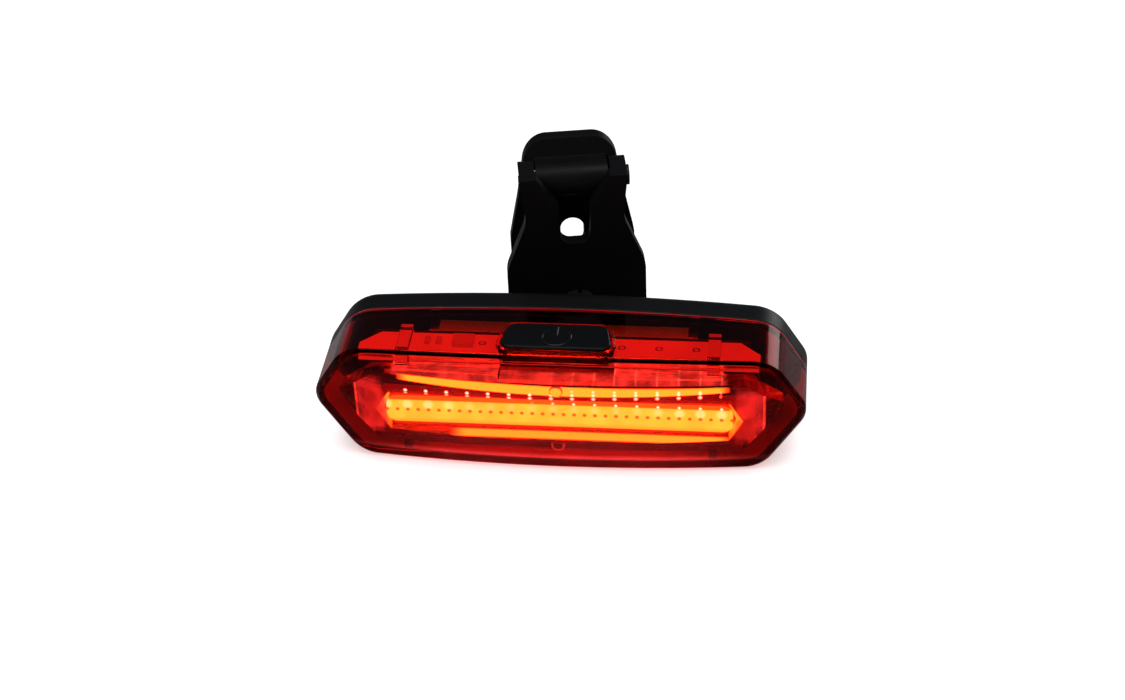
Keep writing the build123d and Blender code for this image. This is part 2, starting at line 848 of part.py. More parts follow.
def port_flap():
    """The rubber flap, with its plug, pull tab and the eye for its pin."""
    half = flap_half_width
    back_y = recess_y + flap_thickness
    plate = block(-half, half, recess_y, back_y, flap_bottom_z, flap_pin_z)
    plate = fillet(plate.edges().filter_by(Axis.Y).group_by(Axis.Z)[0], flap_corner_radius)
    plate = plate + rod_x(flap_thickness / 2, -half, half, flap_pin_y, flap_pin_z)
    tall = flap_plug_height / 2
    plug_half = flap_plug_half_width
    plug_y = recess_y - flap_plug_depth
    plug = block(-plug_half, plug_half, plug_y, recess_y, socket_z - tall, socket_z + tall)
    tab_half = flap_tab_half_width
    tab_z = flap_bottom_z + flap_tab_length
    tab = block(-tab_half, tab_half, back_y, back_y + flap_tab_thickness, flap_bottom_z, tab_z)
    reach = half + overrun
    bore = rod_x(flap_pin_radius + flap_pin_clearance, -reach, reach, flap_pin_y, flap_pin_z)
    return Pos(socket_x, 0, 0) * (plate + plug + tab - bore)


def flap_pin():
    reach = flap_half_width + flap_gap + flap_pin_engagement
    return Pos(socket_x, 0, 0) * rod_x(flap_pin_radius, -reach, reach, flap_pin_y, flap_pin_z)


def mount_yoke():
    """The plate on the back with two lugs for the aim screw."""
    low_x = mount_x - yoke_half_width
    high_x = mount_x + yoke_half_width
    tall = yoke_height / 2
    base = block(low_x, high_x, body_rear_y, yoke_back_y, yoke_z - tall, yoke_z + tall)
    base = fillet(base.edges().filter_by(Axis.Y), yoke_corner_radius)
    for low_z in (lug_bottom_z, lug_top_z - lug_thickness):
        high_z = low_z + lug_thickness
        lug = rod_z(lug_radius, mount_x, aim_y, low_z, high_z)
        root = block(mount_x - lug_radius, mount_x + lug_radius, yoke_back_y, aim_y, low_z, high_z)
        base = base + lug + root
    bore = aim_screw_radius + aim_screw_clearance
    base = base - rod_z(bore, mount_x, aim_y, lug_bottom_z - overrun, lug_top_z + overrun)
    for x, z in yoke_screw_places():
        base = base - rod_y(yoke_screw_radius, x, body_rear_y - overrun, yoke_back_y + overrun, z)
    return base


def yoke_screws():
    screws = []
    for x, z in yoke_screw_places():
        head_y = yoke_back_y + yoke_screw_head_height
        screw = rod_y(yoke_screw_head_radius, x, yoke_back_y, head_y, z)
        screw = screw + rod_y(yoke_screw_radius, x, body_rear_y - yoke_screw_grip, yoke_back_y, z)
        half = yoke_slot_width / 2
        reach = yoke_slot_reach
        floor_y = head_y - yoke_slot_depth
        upright = block(-half, half, floor_y, head_y + overrun, -reach, reach)
        level = block(-reach, reach, floor_y, head_y + overrun, -half, half)
        screws.append(screw - Pos(x, 0, z) * (upright + level))
    return Compound(children=screws)


def aim_screw():
    """The upright screw that the clip turns on."""
    head_top_z = lug_top_z + aim_head_height
    nut_bottom_z = lug_bottom_z - aim_nut_height
    screw = rod_z(aim_screw_radius, mount_x, aim_y, nut_bottom_z, lug_top_z)
    screw = screw + rod_z(aim_head_radius, mount_x, aim_y, lug_top_z, head_top_z)
    reach = aim_head_radius + overrun
    half = aim_slot_width / 2
    floor_z = head_top_z - aim_slot_depth
    top_z = head_top_z + overrun
    slot = block(mount_x - half, mount_x + half, aim_y - reach, aim_y + reach, floor_z, top_z)
    return screw - slot


def aim_nut():
    flat = Pos(mount_x, aim_y) * RegularPolygon(aim_nut_radius, aim_nut_sides)
    low_z = lug_bottom_z - aim_nut_height
    nut = prism_z(flat, low_z, lug_bottom_z)
    return nut - rod_z(aim_screw_radius, mount_x, aim_y, low_z - overrun, lug_bottom_z + overrun)


def aim_washer():
    """The spring washer that gives the aim pivot its drag."""
    low_z = knuckle_top_z + lug_side_gap
    ring = rod_z(aim_washer_radius, mount_x, aim_y, low_z, low_z + aim_washer_thickness)
    bore = aim_screw_radius + aim_screw_clearance
    return ring - rod_z(bore, mount_x, aim_y, low_z - overrun, low_z + aim_washer_thickness + overrun)


def clip_outline():
    """The front view of the bracket: broad foot, waist and forked ears."""
    points = [
        (clip_ear_half_width, clip_top_z),
        (clip_waist_half_width, clip_waist_z),
        (clip_foot_half_width, clip_shoulder_z),
        (clip_foot_half_width, clip_foot_z),
    ]
    flat = both_sides(points)
    flat = round_corners(flat, clip_foot_radius, lambda x, z: z < clip_foot_z + pick_reach)
    for bend_z in (clip_shoulder_z, clip_waist_z):
        flat = round_corners(flat, clip_side_radius, lambda x, z: abs(z - bend_z) < pick_reach)
    return flat


def notch_outline():
    """The notch between the ears, narrowing to its rounded bottom."""
    high_z = clip_top_z + overrun
    points = [
        (ear_notch_half_width, high_z),
        (ear_notch_half_width, clip_top_z),
        (notch_throat_half_width, notch_throat_z),
        (notch_bottom_half_width, notch_bottom_z),
    ]
    flat = both_sides(points)
    return round_corners(flat, notch_corner_radius, lambda x, z: z < notch_bottom_z + pick_reach)


def ear_profile():
    """The side view of the ears, from the front plate to round the pin."""
    lean = math.radians(ear_lean)
    points = [
        (plate_front_y, ear_root_z),
        (plate_back_y, ear_root_z),
        (hinge_y + ear_radius * math.cos(lean), hinge_z - ear_radius * math.sin(lean)),
        (hinge_y, hinge_z),
        (hinge_y, clip_top_z),
        (plate_front_y, clip_top_z),
    ]
    return polygon(points)


def clip_bracket():
    """The front half of the clip, which hangs on the aim pivot."""
    plate = prism_y(clip_outline(), plate_front_y, plate_back_y)
    reach = clip_foot_half_width
    ear_end_y = hinge_y + ear_radius + overrun
    ear_end_z = hinge_z + ear_radius + overrun
    ears = prism_x(ear_profile(), -reach, reach)
    ears = ears + rod_x(ear_radius, -reach, reach, hinge_y, hinge_z)
    ears = ears & prism_y(ear_limits(), plate_front_y, ear_end_y)
    inner = ear_inner_half_width
    tunnel = block(-inner, inner, plate_back_y, ear_end_y, ear_root_z - overrun, ear_end_z)
    bracket = plate + (ears - tunnel)
    bracket = bracket - prism_y(notch_outline(), plate_front_y - overrun, plate_back_y + overrun)
    rib_inner_x = clip_foot_half_width - clip_rib_thickness
    rib_low_z = clip_foot_z + clip_foot_radius
    rib_high_z = clip_shoulder_z - clip_foot_radius
    rib_back_y = plate_back_y + clip_rib_depth
    rib = block(rib_inner_x, clip_foot_half_width, plate_back_y, rib_back_y, rib_low_z, rib_high_z)
    bracket = bracket + rib + mirror(rib, about=Plane.YZ)
    knuckle = rod_z(lug_radius, 0, aim_y, knuckle_bottom_z, knuckle_top_z)
    web_half = knuckle_web_half_width
    web = block(-web_half, web_half, aim_y, plate_front_y, knuckle_bottom_z, knuckle_top_z)
    bracket = bracket + knuckle + web
    bore = aim_screw_radius + aim_screw_clearance
    bracket = bracket - rod_z(bore, 0, aim_y, knuckle_bottom_z - overrun, knuckle_top_z + overrun)
    bracket = bracket - rod_x(hinge_pin_radius, -reach, reach, hinge_y, hinge_z)
    tail_reach = ear_inner_half_width + spring_tail
    tail_hole = rod_x(spring_wire_radius, -tail_reach, 0, hinge_y, hinge_z + spring_mean_radius)
    return bracket - tail_hole


def ear_limits():
    """How far the ears reach sideways, carried up past the pin."""
    top_z = hinge_z + ear_radius + overrun
    points = [
        (clip_ear_half_width, top_z),
        (clip_ear_half_width, clip_top_z),
        (clip_waist_half_width, clip_waist_z),
        (clip_waist_half_width, ear_root_z),
    ]
    return both_sides(points)


def lever_profile():
    """The side view of the lever: finger tab, straight back and cranked jaw."""
    thick = lever_thickness
    front = [
        (lever_front_y + lever_top_lean, lever_top_z),
        (lever_front_y, lever_neck_z),
        (lever_front_y, lever_bend_top_z),
        (jaw_y, lever_bend_low_z),
        (jaw_y, lever_foot_z),
    ]
    back = [(y + thick, z) for y, z in reversed(front)]
    flat = polygon(front + back)
    bends = (lever_neck_z, lever_bend_top_z, lever_bend_low_z)
    for bend_z in bends:
        flat = round_corners(flat, lever_bend_radius, lambda y, z: abs(z - bend_z) < pick_reach)
    return flat


def lever_outline():
    """The back view of the lever, wider towards the jaw."""
    points = [
        (lever_top_half_width, lever_top_z),
        (lever_neck_half_width, lever_neck_z),
        (lever_mid_half_width, lever_mid_z),
        (lever_foot_half_width, lever_hip_z),
        (lever_foot_half_width, lever_foot_z),
    ]
    flat = both_sides(points)
    flat = round_corners(flat, lever_foot_radius, lambda x, z: z < lever_foot_z + pick_reach)
    flat = round_corners(flat, lever_top_radius, lambda x, z: z > lever_top_z - pick_reach)
    return flat


def grip_ribs():
    """Low ribs across the back of the finger tab."""
    ribs = []
    slope = math.atan2(lever_top_lean, lever_top_z - lever_neck_z)
    for i in range(grip_count):
        along = grip_start + i * grip_pitch
        z = lever_top_z - along * math.cos(slope)
        y = lever_front_y + lever_top_lean - along * math.sin(slope) + lever_thickness
        ribs.append(rod_x(grip_radius, -grip_half_width, grip_half_width, y, z))
    return ribs


def tail_slots(reach):
    """The slots in the knuckle's end walls that the spring's tails move in."""
    tail_z = hinge_z + spring_mean_radius
    grow = spring_wire_radius + tail_slot_clearance
    blind_x = barrel_half_width - barrel_end_wall + spring_tail + tail_slot_clearance
    slot_back_y = hinge_y + tail_slot_length
    slot = block(-reach, blind_x, hinge_y - grow, slot_back_y, tail_z - grow, tail_z + grow)
    return slot & rod_x(barrel_radius - spring_wire_radius, -reach, reach, hinge_y, hinge_z)


def clip_lever():
    """The rear half of the clip, with its hollow knuckle between the ears."""
    reach = lever_foot_half_width
    lever = prism_x(lever_profile(), -reach, reach)
    back_y = lever_front_y + lever_top_lean + 2 * lever_thickness
    lever = lever & prism_y(lever_outline(), plate_back_y, back_y)
    half = lever_hole_half_width
    hole = block(-half, half, plate_back_y, back_y, lever_hole_low_z + half, lever_hole_high_z - half)
    hole = hole + rod_y(half, 0, plate_back_y, back_y, lever_hole_low_z + half)
    hole = hole + rod_y(half, 0, plate_back_y, back_y, lever_hole_high_z - half)
    lever = lever - hole
    half = barrel_half_width
    web_low_z = hinge_z - barrel_web_half_height
    web_high_z = hinge_z + barrel_web_half_height
    web = block(-half, half, hinge_y, lever_front_y + lever_thickness / 2, web_low_z, web_high_z)
    lever = lever + rod_x(barrel_radius, -half, half, hinge_y, hinge_z) + web
    bore_half = half - barrel_end_wall
    lever = lever - rod_x(barrel_bore_radius, -bore_half, bore_half, hinge_y, hinge_z)
    reach = half + overrun
    pin_bore = hinge_pin_radius + hinge_pin_clearance
    lever = lever - rod_x(pin_bore, -reach, reach, hinge_y, hinge_z) - tail_slots(reach)
    for rib in grip_ribs():
        lever = lever + rib
    return lever


def hinge_pin():
    half = clip_ear_half_width
    pin = rod_x(hinge_pin_radius, -half, half, hinge_y, hinge_z)
    head = rod_x(hinge_head_radius, half, half + hinge_head_height, hinge_y, hinge_z)
    return pin + head


def torsion_spring():
    """The coil round the pin, drawn in short straight facets, with a tail along X at each end."""
    height = spring_turns * spring_pitch
    steps = spring_turns * spring_steps
    points = [(-ear_inner_half_width - spring_tail, hinge_y, hinge_z + spring_mean_radius)]
    for i in range(steps + 1):
        angle = 2 * math.pi * i / spring_steps
        x = height * (i / steps - 1 / 2)
        y = hinge_y + spring_mean_radius * math.sin(angle)
        z = hinge_z + spring_mean_radius * math.cos(angle)
        points.append((x, y, z))
    half_inner = barrel_half_width - barrel_end_wall
    points.append((half_inner + spring_tail, hinge_y, hinge_z + spring_mean_radius))
    path = Polyline(*points)
    start = Plane(origin=path @ 0, z_dir=path % 0)
    section = start * RegularPolygon(spring_wire_radius, spring_sides)
    return sweep(section, path=path, transition=Transition.RIGHT)


def pad_body(low_y, face_y):
    """A jaw pad with rounded corners and shallow grooves across its gripping face."""
    half = pad_half_width
    pad = block(-half, half, low_y, low_y + pad_thickness, pad_bottom_z, pad_top_z)
    pad = fillet(pad.edges().filter_by(Axis.Y), pad_corner_radius)
    middle_z = (pad_bottom_z + pad_top_z) / 2
    for i in range(pad_groove_count):
        z = middle_z + (i - (pad_groove_count - 1) / 2) * pad_groove_pitch
        pad = pad - rod_x(pad_groove_radius, -half - overrun, half + overrun, face_y, z)
    return pad


def front_pad():
    return pad_body(plate_back_y, plate_back_y + pad_thickness)


def rear_pad():
    return pad_body(jaw_y - pad_thickness, jaw_y - pad_thickness)


def turned(shape):
    """Turn a piece of the clip about the aim pivot, as it stands on the lamp."""
    return Pos(mount_x, aim_y, 0) * (Rot(0, 0, clip_turn) * (Pos(0, -aim_y, 0) * shape))


lamp_pieces = {
    "rear_housing": rear_housing,
    "lens_cover": lens_cover,
    "housing_gasket": housing_gasket,
    "power_button": power_button,
    "optic_frame": optic_frame,
    "led_phosphor": led_phosphor,
    "led_dies": led_dies,
    "led_strip": led_strip,
    "heat_spreader": heat_spreader,
    "main_board": main_board,
    "board_parts": board_parts,
    "switch_body": switch_body,
    "switch_plunger": switch_plunger,
    "board_screws": board_screws,
    "inner_chassis": inner_chassis,
    "battery_cell": battery_cell,
    "battery_tape": battery_tape,
    "battery_foam": battery_foam,
    "charge_board": charge_board,
    "charge_socket": charge_socket,
    "charge_tongue": charge_tongue,
    "charge_led": charge_led,
    "port_flap": port_flap,
    "flap_pin": flap_pin,
    "mount_yoke": mount_yoke,
    "yoke_screws": yoke_screws,
    "aim_screw": aim_screw,
    "aim_nut": aim_nut,
    "aim_washer": aim_washer,
}

clip_pieces = {
    "clip_bracket": clip_bracket,
    "hinge_pin": hinge_pin,
    "torsion_spring": torsion_spring,
    "front_pad": front_pad,
    "clip_lever": clip_lever,
    "rear_pad": rear_pad,
}

for name, make in lamp_pieces.items():
    save(name, make())
for name, make in clip_pieces.items():
    save(name, turned(make()))
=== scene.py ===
import json
import math
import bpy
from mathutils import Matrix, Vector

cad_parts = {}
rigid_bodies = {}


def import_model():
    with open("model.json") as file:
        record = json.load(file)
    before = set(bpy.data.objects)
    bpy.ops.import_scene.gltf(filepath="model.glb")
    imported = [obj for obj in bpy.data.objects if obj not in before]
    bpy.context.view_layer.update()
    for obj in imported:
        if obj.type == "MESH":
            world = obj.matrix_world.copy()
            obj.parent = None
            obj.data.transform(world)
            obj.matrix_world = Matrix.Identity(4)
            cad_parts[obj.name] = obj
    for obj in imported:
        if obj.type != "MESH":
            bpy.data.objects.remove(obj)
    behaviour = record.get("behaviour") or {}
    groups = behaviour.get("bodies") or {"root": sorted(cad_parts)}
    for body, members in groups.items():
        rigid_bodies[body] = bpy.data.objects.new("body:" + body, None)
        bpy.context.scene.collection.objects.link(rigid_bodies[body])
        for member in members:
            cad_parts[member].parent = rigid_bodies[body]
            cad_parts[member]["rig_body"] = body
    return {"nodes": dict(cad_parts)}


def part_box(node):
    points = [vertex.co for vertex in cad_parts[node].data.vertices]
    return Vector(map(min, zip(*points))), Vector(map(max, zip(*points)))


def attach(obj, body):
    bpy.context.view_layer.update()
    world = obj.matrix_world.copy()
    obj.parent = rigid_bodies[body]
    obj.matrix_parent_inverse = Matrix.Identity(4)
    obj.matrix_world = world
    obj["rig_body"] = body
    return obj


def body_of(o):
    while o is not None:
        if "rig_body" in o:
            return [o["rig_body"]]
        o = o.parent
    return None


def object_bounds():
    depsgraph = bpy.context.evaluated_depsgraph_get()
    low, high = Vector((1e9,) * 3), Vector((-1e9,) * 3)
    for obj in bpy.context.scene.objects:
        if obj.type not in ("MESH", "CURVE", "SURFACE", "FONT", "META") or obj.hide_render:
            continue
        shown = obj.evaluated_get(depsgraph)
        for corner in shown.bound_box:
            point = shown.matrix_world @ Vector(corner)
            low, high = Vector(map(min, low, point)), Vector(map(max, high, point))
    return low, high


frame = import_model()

from types import SimpleNamespace

import bmesh
import bpy
from mathutils import Matrix, Vector

# A bicycle rear light, lit, standing on a white table. Metres, +Z up, in the part's own frame.

mm = 0.001
cad_low, cad_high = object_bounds()
nodes = frame["nodes"]

# The camera, fitted to the photograph: angles in degrees, and pixels of a 1125 by 700 picture
picture_width_px = 1125
picture_height_px = 700
camera_pitch = 35.65
camera_yaw = 7.4
camera_roll = 2.45
focal_px = 2200.0
ridge_point = Vector((0, -9.5, 19.6)) * mm
ridge_px = (554.8, 359.1)
ridge_distance = 328.0 * mm
sensor_width_mm = 36.0
nearest_seen = 10 * mm
farthest_seen = 20.0

# The light strip: a row of dies under a strip of phosphor, measured on the part's own boxes
phosphor_low, phosphor_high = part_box("led_phosphor")
phosphor_middle_z = (phosphor_low.z + phosphor_high.z) / 2
phosphor_half_z = (phosphor_high.z - phosphor_low.z) / 2
dies_low, dies_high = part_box("led_dies")
die_count = 30
die_half_width = 0.35 * mm
first_die_x = dies_low.x + die_half_width
die_pitch = (dies_high.x - dies_low.x - 2 * die_half_width) / (die_count - 1)
bright_pitch = 2 * die_pitch

# The lit areas: places in metres, and the red, green and blue of each glow. A span is where an area
# starts, where it stops and how softly. Another pair is where it has gone and where it is full, and
# two numbers after a pair are its shares there.

# The phosphor's glow
phosphor_shown = 24.0
phosphor_cast = 12.0
phosphor_glow = ((1.0, 0.6, 0.08), (1.0, 0.72, 0.11))
phosphor_rim = (0.6 * phosphor_half_z, phosphor_half_z)
phosphor_rim_glow = (1.0, 0.45, 0.05)
phosphor_top = (0.74 * phosphor_half_z, 0.84 * phosphor_half_z)
phosphor_top_glow = (0.5, 0.12, 0.01)
phosphor_skin = ((0.85, 0.55, 0.06), (0.95, 0.7, 0.12))
die_dot_reach = (0.4 * mm, 0.2 * mm)
die_dot_share = 0.9
die_dot_glow = (0.5, 0.09, 0.02)
hot_spot_z = phosphor_middle_z + 0.95 * mm
hot_spot_reach = (1.1 * mm, 0.15 * mm)
hot_spot_side = (12.0 * mm, 21.0 * mm, 0.22, 1.0)
hot_spot_glow = (1.6, 1.1, 0.7)
rim_glint_z = phosphor_middle_z + 0.88 * phosphor_half_z
rim_glint_reach = (0.3 * mm, 0.1 * mm)
rim_glint_x = (-6.0 * mm, 4.0 * mm)
rim_glint_glow = (1.6, 1.5, 1.8)

# The clear frame: light painted as glows where it brings the strip's light out
guide_shown = 22.0
band_low_z = 13.0 * mm
band_high_z = 14.9 * mm
band_edge = 0.25 * mm
band_span_x = (-24.6 * mm, 26.2 * mm, 2.2 * mm)
band_tilt = -0.014
band_bow_side = 25.0 * mm
band_low_bow = 1.05 * mm
band_high_bow = 0.3 * mm
band_glow = (1.0, 0.62, 0.07)
glint_tilt = -0.028
glint_bow = 0.006
low_glint_z = band_low_z - 0.42 * mm
low_glint_reach = (0.4 * mm, 0.1 * mm)
low_glint_share = 0.7
middle_glint_z = band_low_z + 0.25 * mm
middle_glint_reach = (0.34 * mm, 0.12 * mm)
high_glint_z = band_low_z + 1.0 * mm
high_glint_reach = (0.3 * mm, 0.1 * mm)
high_glint_x = (-2.0 * mm, 6.0 * mm, 0.0, 0.8)
glint_side = (25.0 * mm, 24.0 * mm)
glint_glow = (1.5, 1.4, 1.7)
lip_span_z = (15.1 * mm, 16.8 * mm, 0.15 * mm)
lip_span_side = (-1.0 * mm, 26.0 * mm, 1.5 * mm)
lip_bow = 1.5 * mm
lip_y = (-6.0 * mm, -6.8 * mm)
lip_glow = (0.05, 0.036, 0.05)
column_reach = (0.2 * mm, 0.05 * mm)
column_x = (-10.0 * mm, 8.0 * mm, 0.1, 0.4)
column_glow = (0.1, 0.25, 0.3)
end_span_side = (25.8 * mm, 31.5 * mm, 0.3 * mm)
end_span_lean = (-0.95, -0.15, 0.05)
end_tilt = -0.03
end_amber_side = (27.7 * mm, 26.9 * mm)
end_pale_glow = (0.12, 0.07, 0.09)
end_amber_glow = (0.9, 0.5, 0.06)
plate_span_side = (26.6 * mm, 34.6 * mm, 0.8 * mm)
plate_span_z = (3.5 * mm, 15.0 * mm, 2.0 * mm)
plate_glow = (0.034, 0.0175, 0.035)
low_bar_span_z = (4.45 * mm, 5.0 * mm, 0.12 * mm)
low_bar_span_x = (-17.0 * mm, 27.0 * mm, 3.0 * mm)
low_bar_glow = (0.9, 0.48, 0.055)
gate_heights = (14.0 * mm, 3.9 * mm)
gate_ring_span = (0.75 * mm, 1.1 * mm, 0.1 * mm)
gate_ring_share = 0.6
gate_ring_glow = (0.06, 0.05, 0.06)

# Painted light: a red glow in the lens for the light it scatters, and a glow where light soaks into
# the board
lens_glow_y = (-5.5 * mm, -9.5 * mm)
lens_glow_z = (17.5 * mm, 14.0 * mm)
lens_glow_side = (31.0 * mm, 14.0 * mm, 0.15, 1.0)
lens_glow_colour = (0.13, 0.005, 0.005)
foot_line_span_z = (1.7 * mm, 2.9 * mm, 0.5 * mm)
foot_line_glow = (0.4, 0.036, 0.036)
joint_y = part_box("rear_housing")[0].y
joint_span_y = (joint_y - 0.3 * mm, joint_y + 0.1 * mm, 0.08 * mm)
joint_z = (8.0 * mm, 18.0 * mm)
joint_glow = (0.3, 0.008, 0.01)
board_glow = (0.6, 0.22, 0.27)
parts_glow = (0.4, 0.13, 0.16)

# How the finishes vary. A cut is where a noise, a lean or a distance starts to count and where it
# counts in full, and two numbers after that are what it gives there.
slow_tone_share = 0.7
mottled_tone_share = 0.3
edge_cut = (0.995, 0.9)
smudge_cut = (0.42, 0.68)
scratch_cut = (0.66, 0.72)
speck_cut = (0.07, 0.03)
dust_patch_cut = (0.5, 0.62)
worn_share = 0.6
worn_paleness = 1.6
worn_smoothing = 0.2
dust_share = 0.35
dust_paleness = 0.06
smudge_roughness = 0.86
mark_cut = (0.3, 0.7)
mark_smoothest = 0.8
mark_roughest = 1.25
clear_warmth = 0.97
clear_smudge_haze = 0.02
clear_scratch_haze = 0.04
front_cut = (-0.85, -0.97)
upward_cut = (0.6, 0.9)
guide_cloud_cut = (0.35, 0.68, 0.35, 1.0)
lens_glow_cloud_cut = (0.3, 0.7, 0.6, 1.0)
phosphor_cloud_cut = (0.35, 0.7)
phosphor_roughness_cut = (0.3, 0.7, 0.35, 0.5)
soak_cut = (0.35, 0.65)
soak_faintness = 0.7
track_spacing = 0.45 * mm
track_cut = (0.16 * mm, 0.2 * mm)
track_patch_cut = (0.48, 0.52)
track_rise = 0.03 * mm
mask_roughness_cut = (0.3, 0.7, 0.28, 0.42)
film_roughness_cut = (0.3, 0.7, 0.18, 0.32)
crease_rise = 0.08 * mm
# Painted shade on the table: its white dims where the object is close
table_openness_cut = (0.25, 0.9, 0.5, 0.96)


# Shader steps that several finishes use

def start_group(name, numbers, outputs):
    """A shader group with number inputs, and outputs given as (name, kind)."""
    tree = bpy.data.node_groups.new(name, "ShaderNodeTree")
    for label, value in numbers:
        socket = tree.interface.new_socket(label, in_out="INPUT", socket_type="NodeSocketFloat")
        socket.default_value = value
    for label, kind in outputs:
        tree.interface.new_socket(label, in_out="OUTPUT", socket_type=kind)
    return tree, tree.nodes.new("NodeGroupInput"), tree.nodes.new("NodeGroupOutput")


def feed(tree, value, socket):
    """Put a number or a colour on the socket, or link what comes from another node to it."""
    if isinstance(value, bpy.types.NodeSocket):
        tree.links.new(value, socket)
    elif isinstance(value, tuple):
        socket.default_value = (*value, 1)
    else:
        socket.default_value = value


def maths(tree, operation, first, second=0.0):
    """One step of arithmetic on numbers or sockets; some operations need only the first."""
    node = tree.nodes.new("ShaderNodeMath")
    node.operation = operation
    feed(tree, first, node.inputs[0])
    feed(tree, second, node.inputs[1])
    return node.outputs["Value"]


def product(tree, first, *others):
    """All of them multiplied."""
    for other in others:
        first = maths(tree, "MULTIPLY", first, other)
    return first


def total(tree, first, *others):
    """All of them added up."""
    for other in others:
        first = maths(tree, "ADD", first, other)
    return first


def most(tree, first, *others):
    """The greatest of them."""
    for other in others:
        first = maths(tree, "MAXIMUM", first, other)
    return first


def spread(tree, value, low, high, new_low=0.0, new_high=1.0):
    """Map the range low to high smoothly onto new_low to new_high."""
    node = tree.nodes.new("ShaderNodeMapRange")
    node.interpolation_type = "SMOOTHSTEP"
    feed(tree, value, node.inputs["Value"])
    ends = {"From Min": low, "From Max": high, "To Min": new_low, "To Max": new_high}
    for label, number in ends.items():
        feed(tree, number, node.inputs[label])
    return node.outputs["Result"]


def within(tree, value, low, high, soft):
    """One between low and high, fading to nothing over soft on the inside of each end."""
    rise = spread(tree, value, low, total(tree, low, soft))
    fall = spread(tree, value, high, maths(tree, "SUBTRACT", high, soft))
    return product(tree, rise, fall)


def distance_of(tree, first, second):
    """How far a place is from the origin, from its measures along two axes."""
    squares = [maths(tree, "POWER", measure, 2.0) for measure in (first, second)]
    return maths(tree, "SQRT", total(tree, *squares))


def off_die(tree, x, pitch):
    """How far x is from the nearest die of a row with this pitch, counted from the first die."""
    steps = maths(tree, "DIVIDE", maths(tree, "SUBTRACT", x, first_die_x - pitch / 2), pitch)
    share = maths(tree, "SUBTRACT", steps, maths(tree, "FLOOR", steps))
    return product(tree, maths(tree, "ABSOLUTE", maths(tree, "SUBTRACT", share, 0.5)), pitch)


def dots(tree, x, z, row_z, pitch, reach):
    """A row of soft round dots at row_z, one for each die of this pitch."""
    away = distance_of(tree, off_die(tree, x, pitch), maths(tree, "SUBTRACT", z, row_z))
    return spread(tree, away, *reach)


def mix_colours(tree, share, first, second):
    """The first colour, giving way to the second as share goes from zero to one."""
    node = tree.nodes.new("ShaderNodeMix")
    node.data_type = "RGBA"
    feed(tree, share, node.inputs["Factor"])
    feed(tree, first, node.inputs["A"])
    feed(tree, second, node.inputs["B"])
    return node.outputs["Result"]


def layered(tree, ground, *layers):
    """Colours laid over a ground, each by its own share, the later ones over the earlier."""
    for share, colour in layers:
        ground = mix_colours(tree, share, ground, colour)
    return ground


def noise(tree, vector, scale, detail=3.0, roughness=0.5, distortion=0.0):
    """A noise texture; scale is a number or a socket."""
    texture = tree.nodes.new("ShaderNodeTexNoise")
    texture.inputs["Detail"].default_value = detail
    texture.inputs["Roughness"].default_value = roughness
    texture.inputs["Distortion"].default_value = distortion
    feed(tree, scale, texture.inputs["Scale"])
    tree.links.new(vector, texture.inputs["Vector"])
    return texture.outputs["Fac"]


def object_place(tree):
    """The place of a point in its own object."""
    return tree.nodes.new("ShaderNodeTexCoord").outputs["Object"]


def split_place(tree):
    """The same place as its three measures."""
    parts = tree.nodes.new("ShaderNodeSeparateXYZ")
    tree.links.new(object_place(tree), parts.inputs["Vector"])
    return parts.outputs["X"], parts.outputs["Y"], parts.outputs["Z"]


def stretched_place(tree, scale, rotation=(0.0, 0.0, 0.0)):
    """The same place, scaled along each axis and turned, for marks that run one way."""
    stretch = tree.nodes.new("ShaderNodeMapping")
    stretch.inputs["Scale"].default_value = scale
    stretch.inputs["Rotation"].default_value = rotation
    tree.links.new(object_place(tree), stretch.inputs["Vector"])
    return stretch.outputs["Vector"]


def raised(tree, height, distance, normal=None):
    """The normal of a skin whose height, times this distance, stands up from it."""
    bump = tree.nodes.new("ShaderNodeBump")
    feed(tree, height, bump.inputs["Height"])
    feed(tree, distance, bump.inputs["Distance"])
    if normal is not None:
        feed(tree, normal, bump.inputs["Normal"])
    return bump.outputs["Normal"]


def make_moulded_group():
    """Moulded plastic: a fine eroded grain, slow shading of the tone, and softened edges."""
    numbers = [("Grain Size", 0.25 * mm), ("Grain Depth", 0.004 * mm), ("Edge Radius", 0.12 * mm)]
    kinds = {"Normal": "NodeSocketVector", "Tone": "NodeSocketFloat", "Edge": "NodeSocketFloat"}
    tree, given, result = start_group("moulded surface", numbers, kinds.items())
    place = object_place(tree)
    fineness = maths(tree, "DIVIDE", 1.0, given.outputs["Grain Size"])
    grain = noise(tree, place, fineness, detail=4.0, roughness=0.6)
    bevel = tree.nodes.new("ShaderNodeBevel")
    bevel.samples = 4
    feed(tree, given.outputs["Edge Radius"], bevel.inputs["Radius"])
    rounded = bevel.outputs["Normal"]
    grained = raised(tree, grain, given.outputs["Grain Depth"], rounded)
    feed(tree, grained, result.inputs["Normal"])
    slow = noise(tree, place, scale=90.0, detail=3.0)
    mottled = noise(tree, place, scale=900.0, detail=2.0)
    slow = product(tree, slow, slow_tone_share)
    mottled = product(tree, mottled, mottled_tone_share)
    feed(tree, total(tree, slow, mottled), result.inputs["Tone"])
    lean = tree.nodes.new("ShaderNodeVectorMath")
    lean.operation = "DOT_PRODUCT"
    flat = tree.nodes.new("ShaderNodeNewGeometry")
    feed(tree, flat.outputs["Normal"], lean.inputs[0])
    feed(tree, rounded, lean.inputs[1])
    feed(tree, spread(tree, lean.outputs["Value"], *edge_cut), result.inputs["Edge"])
    return tree


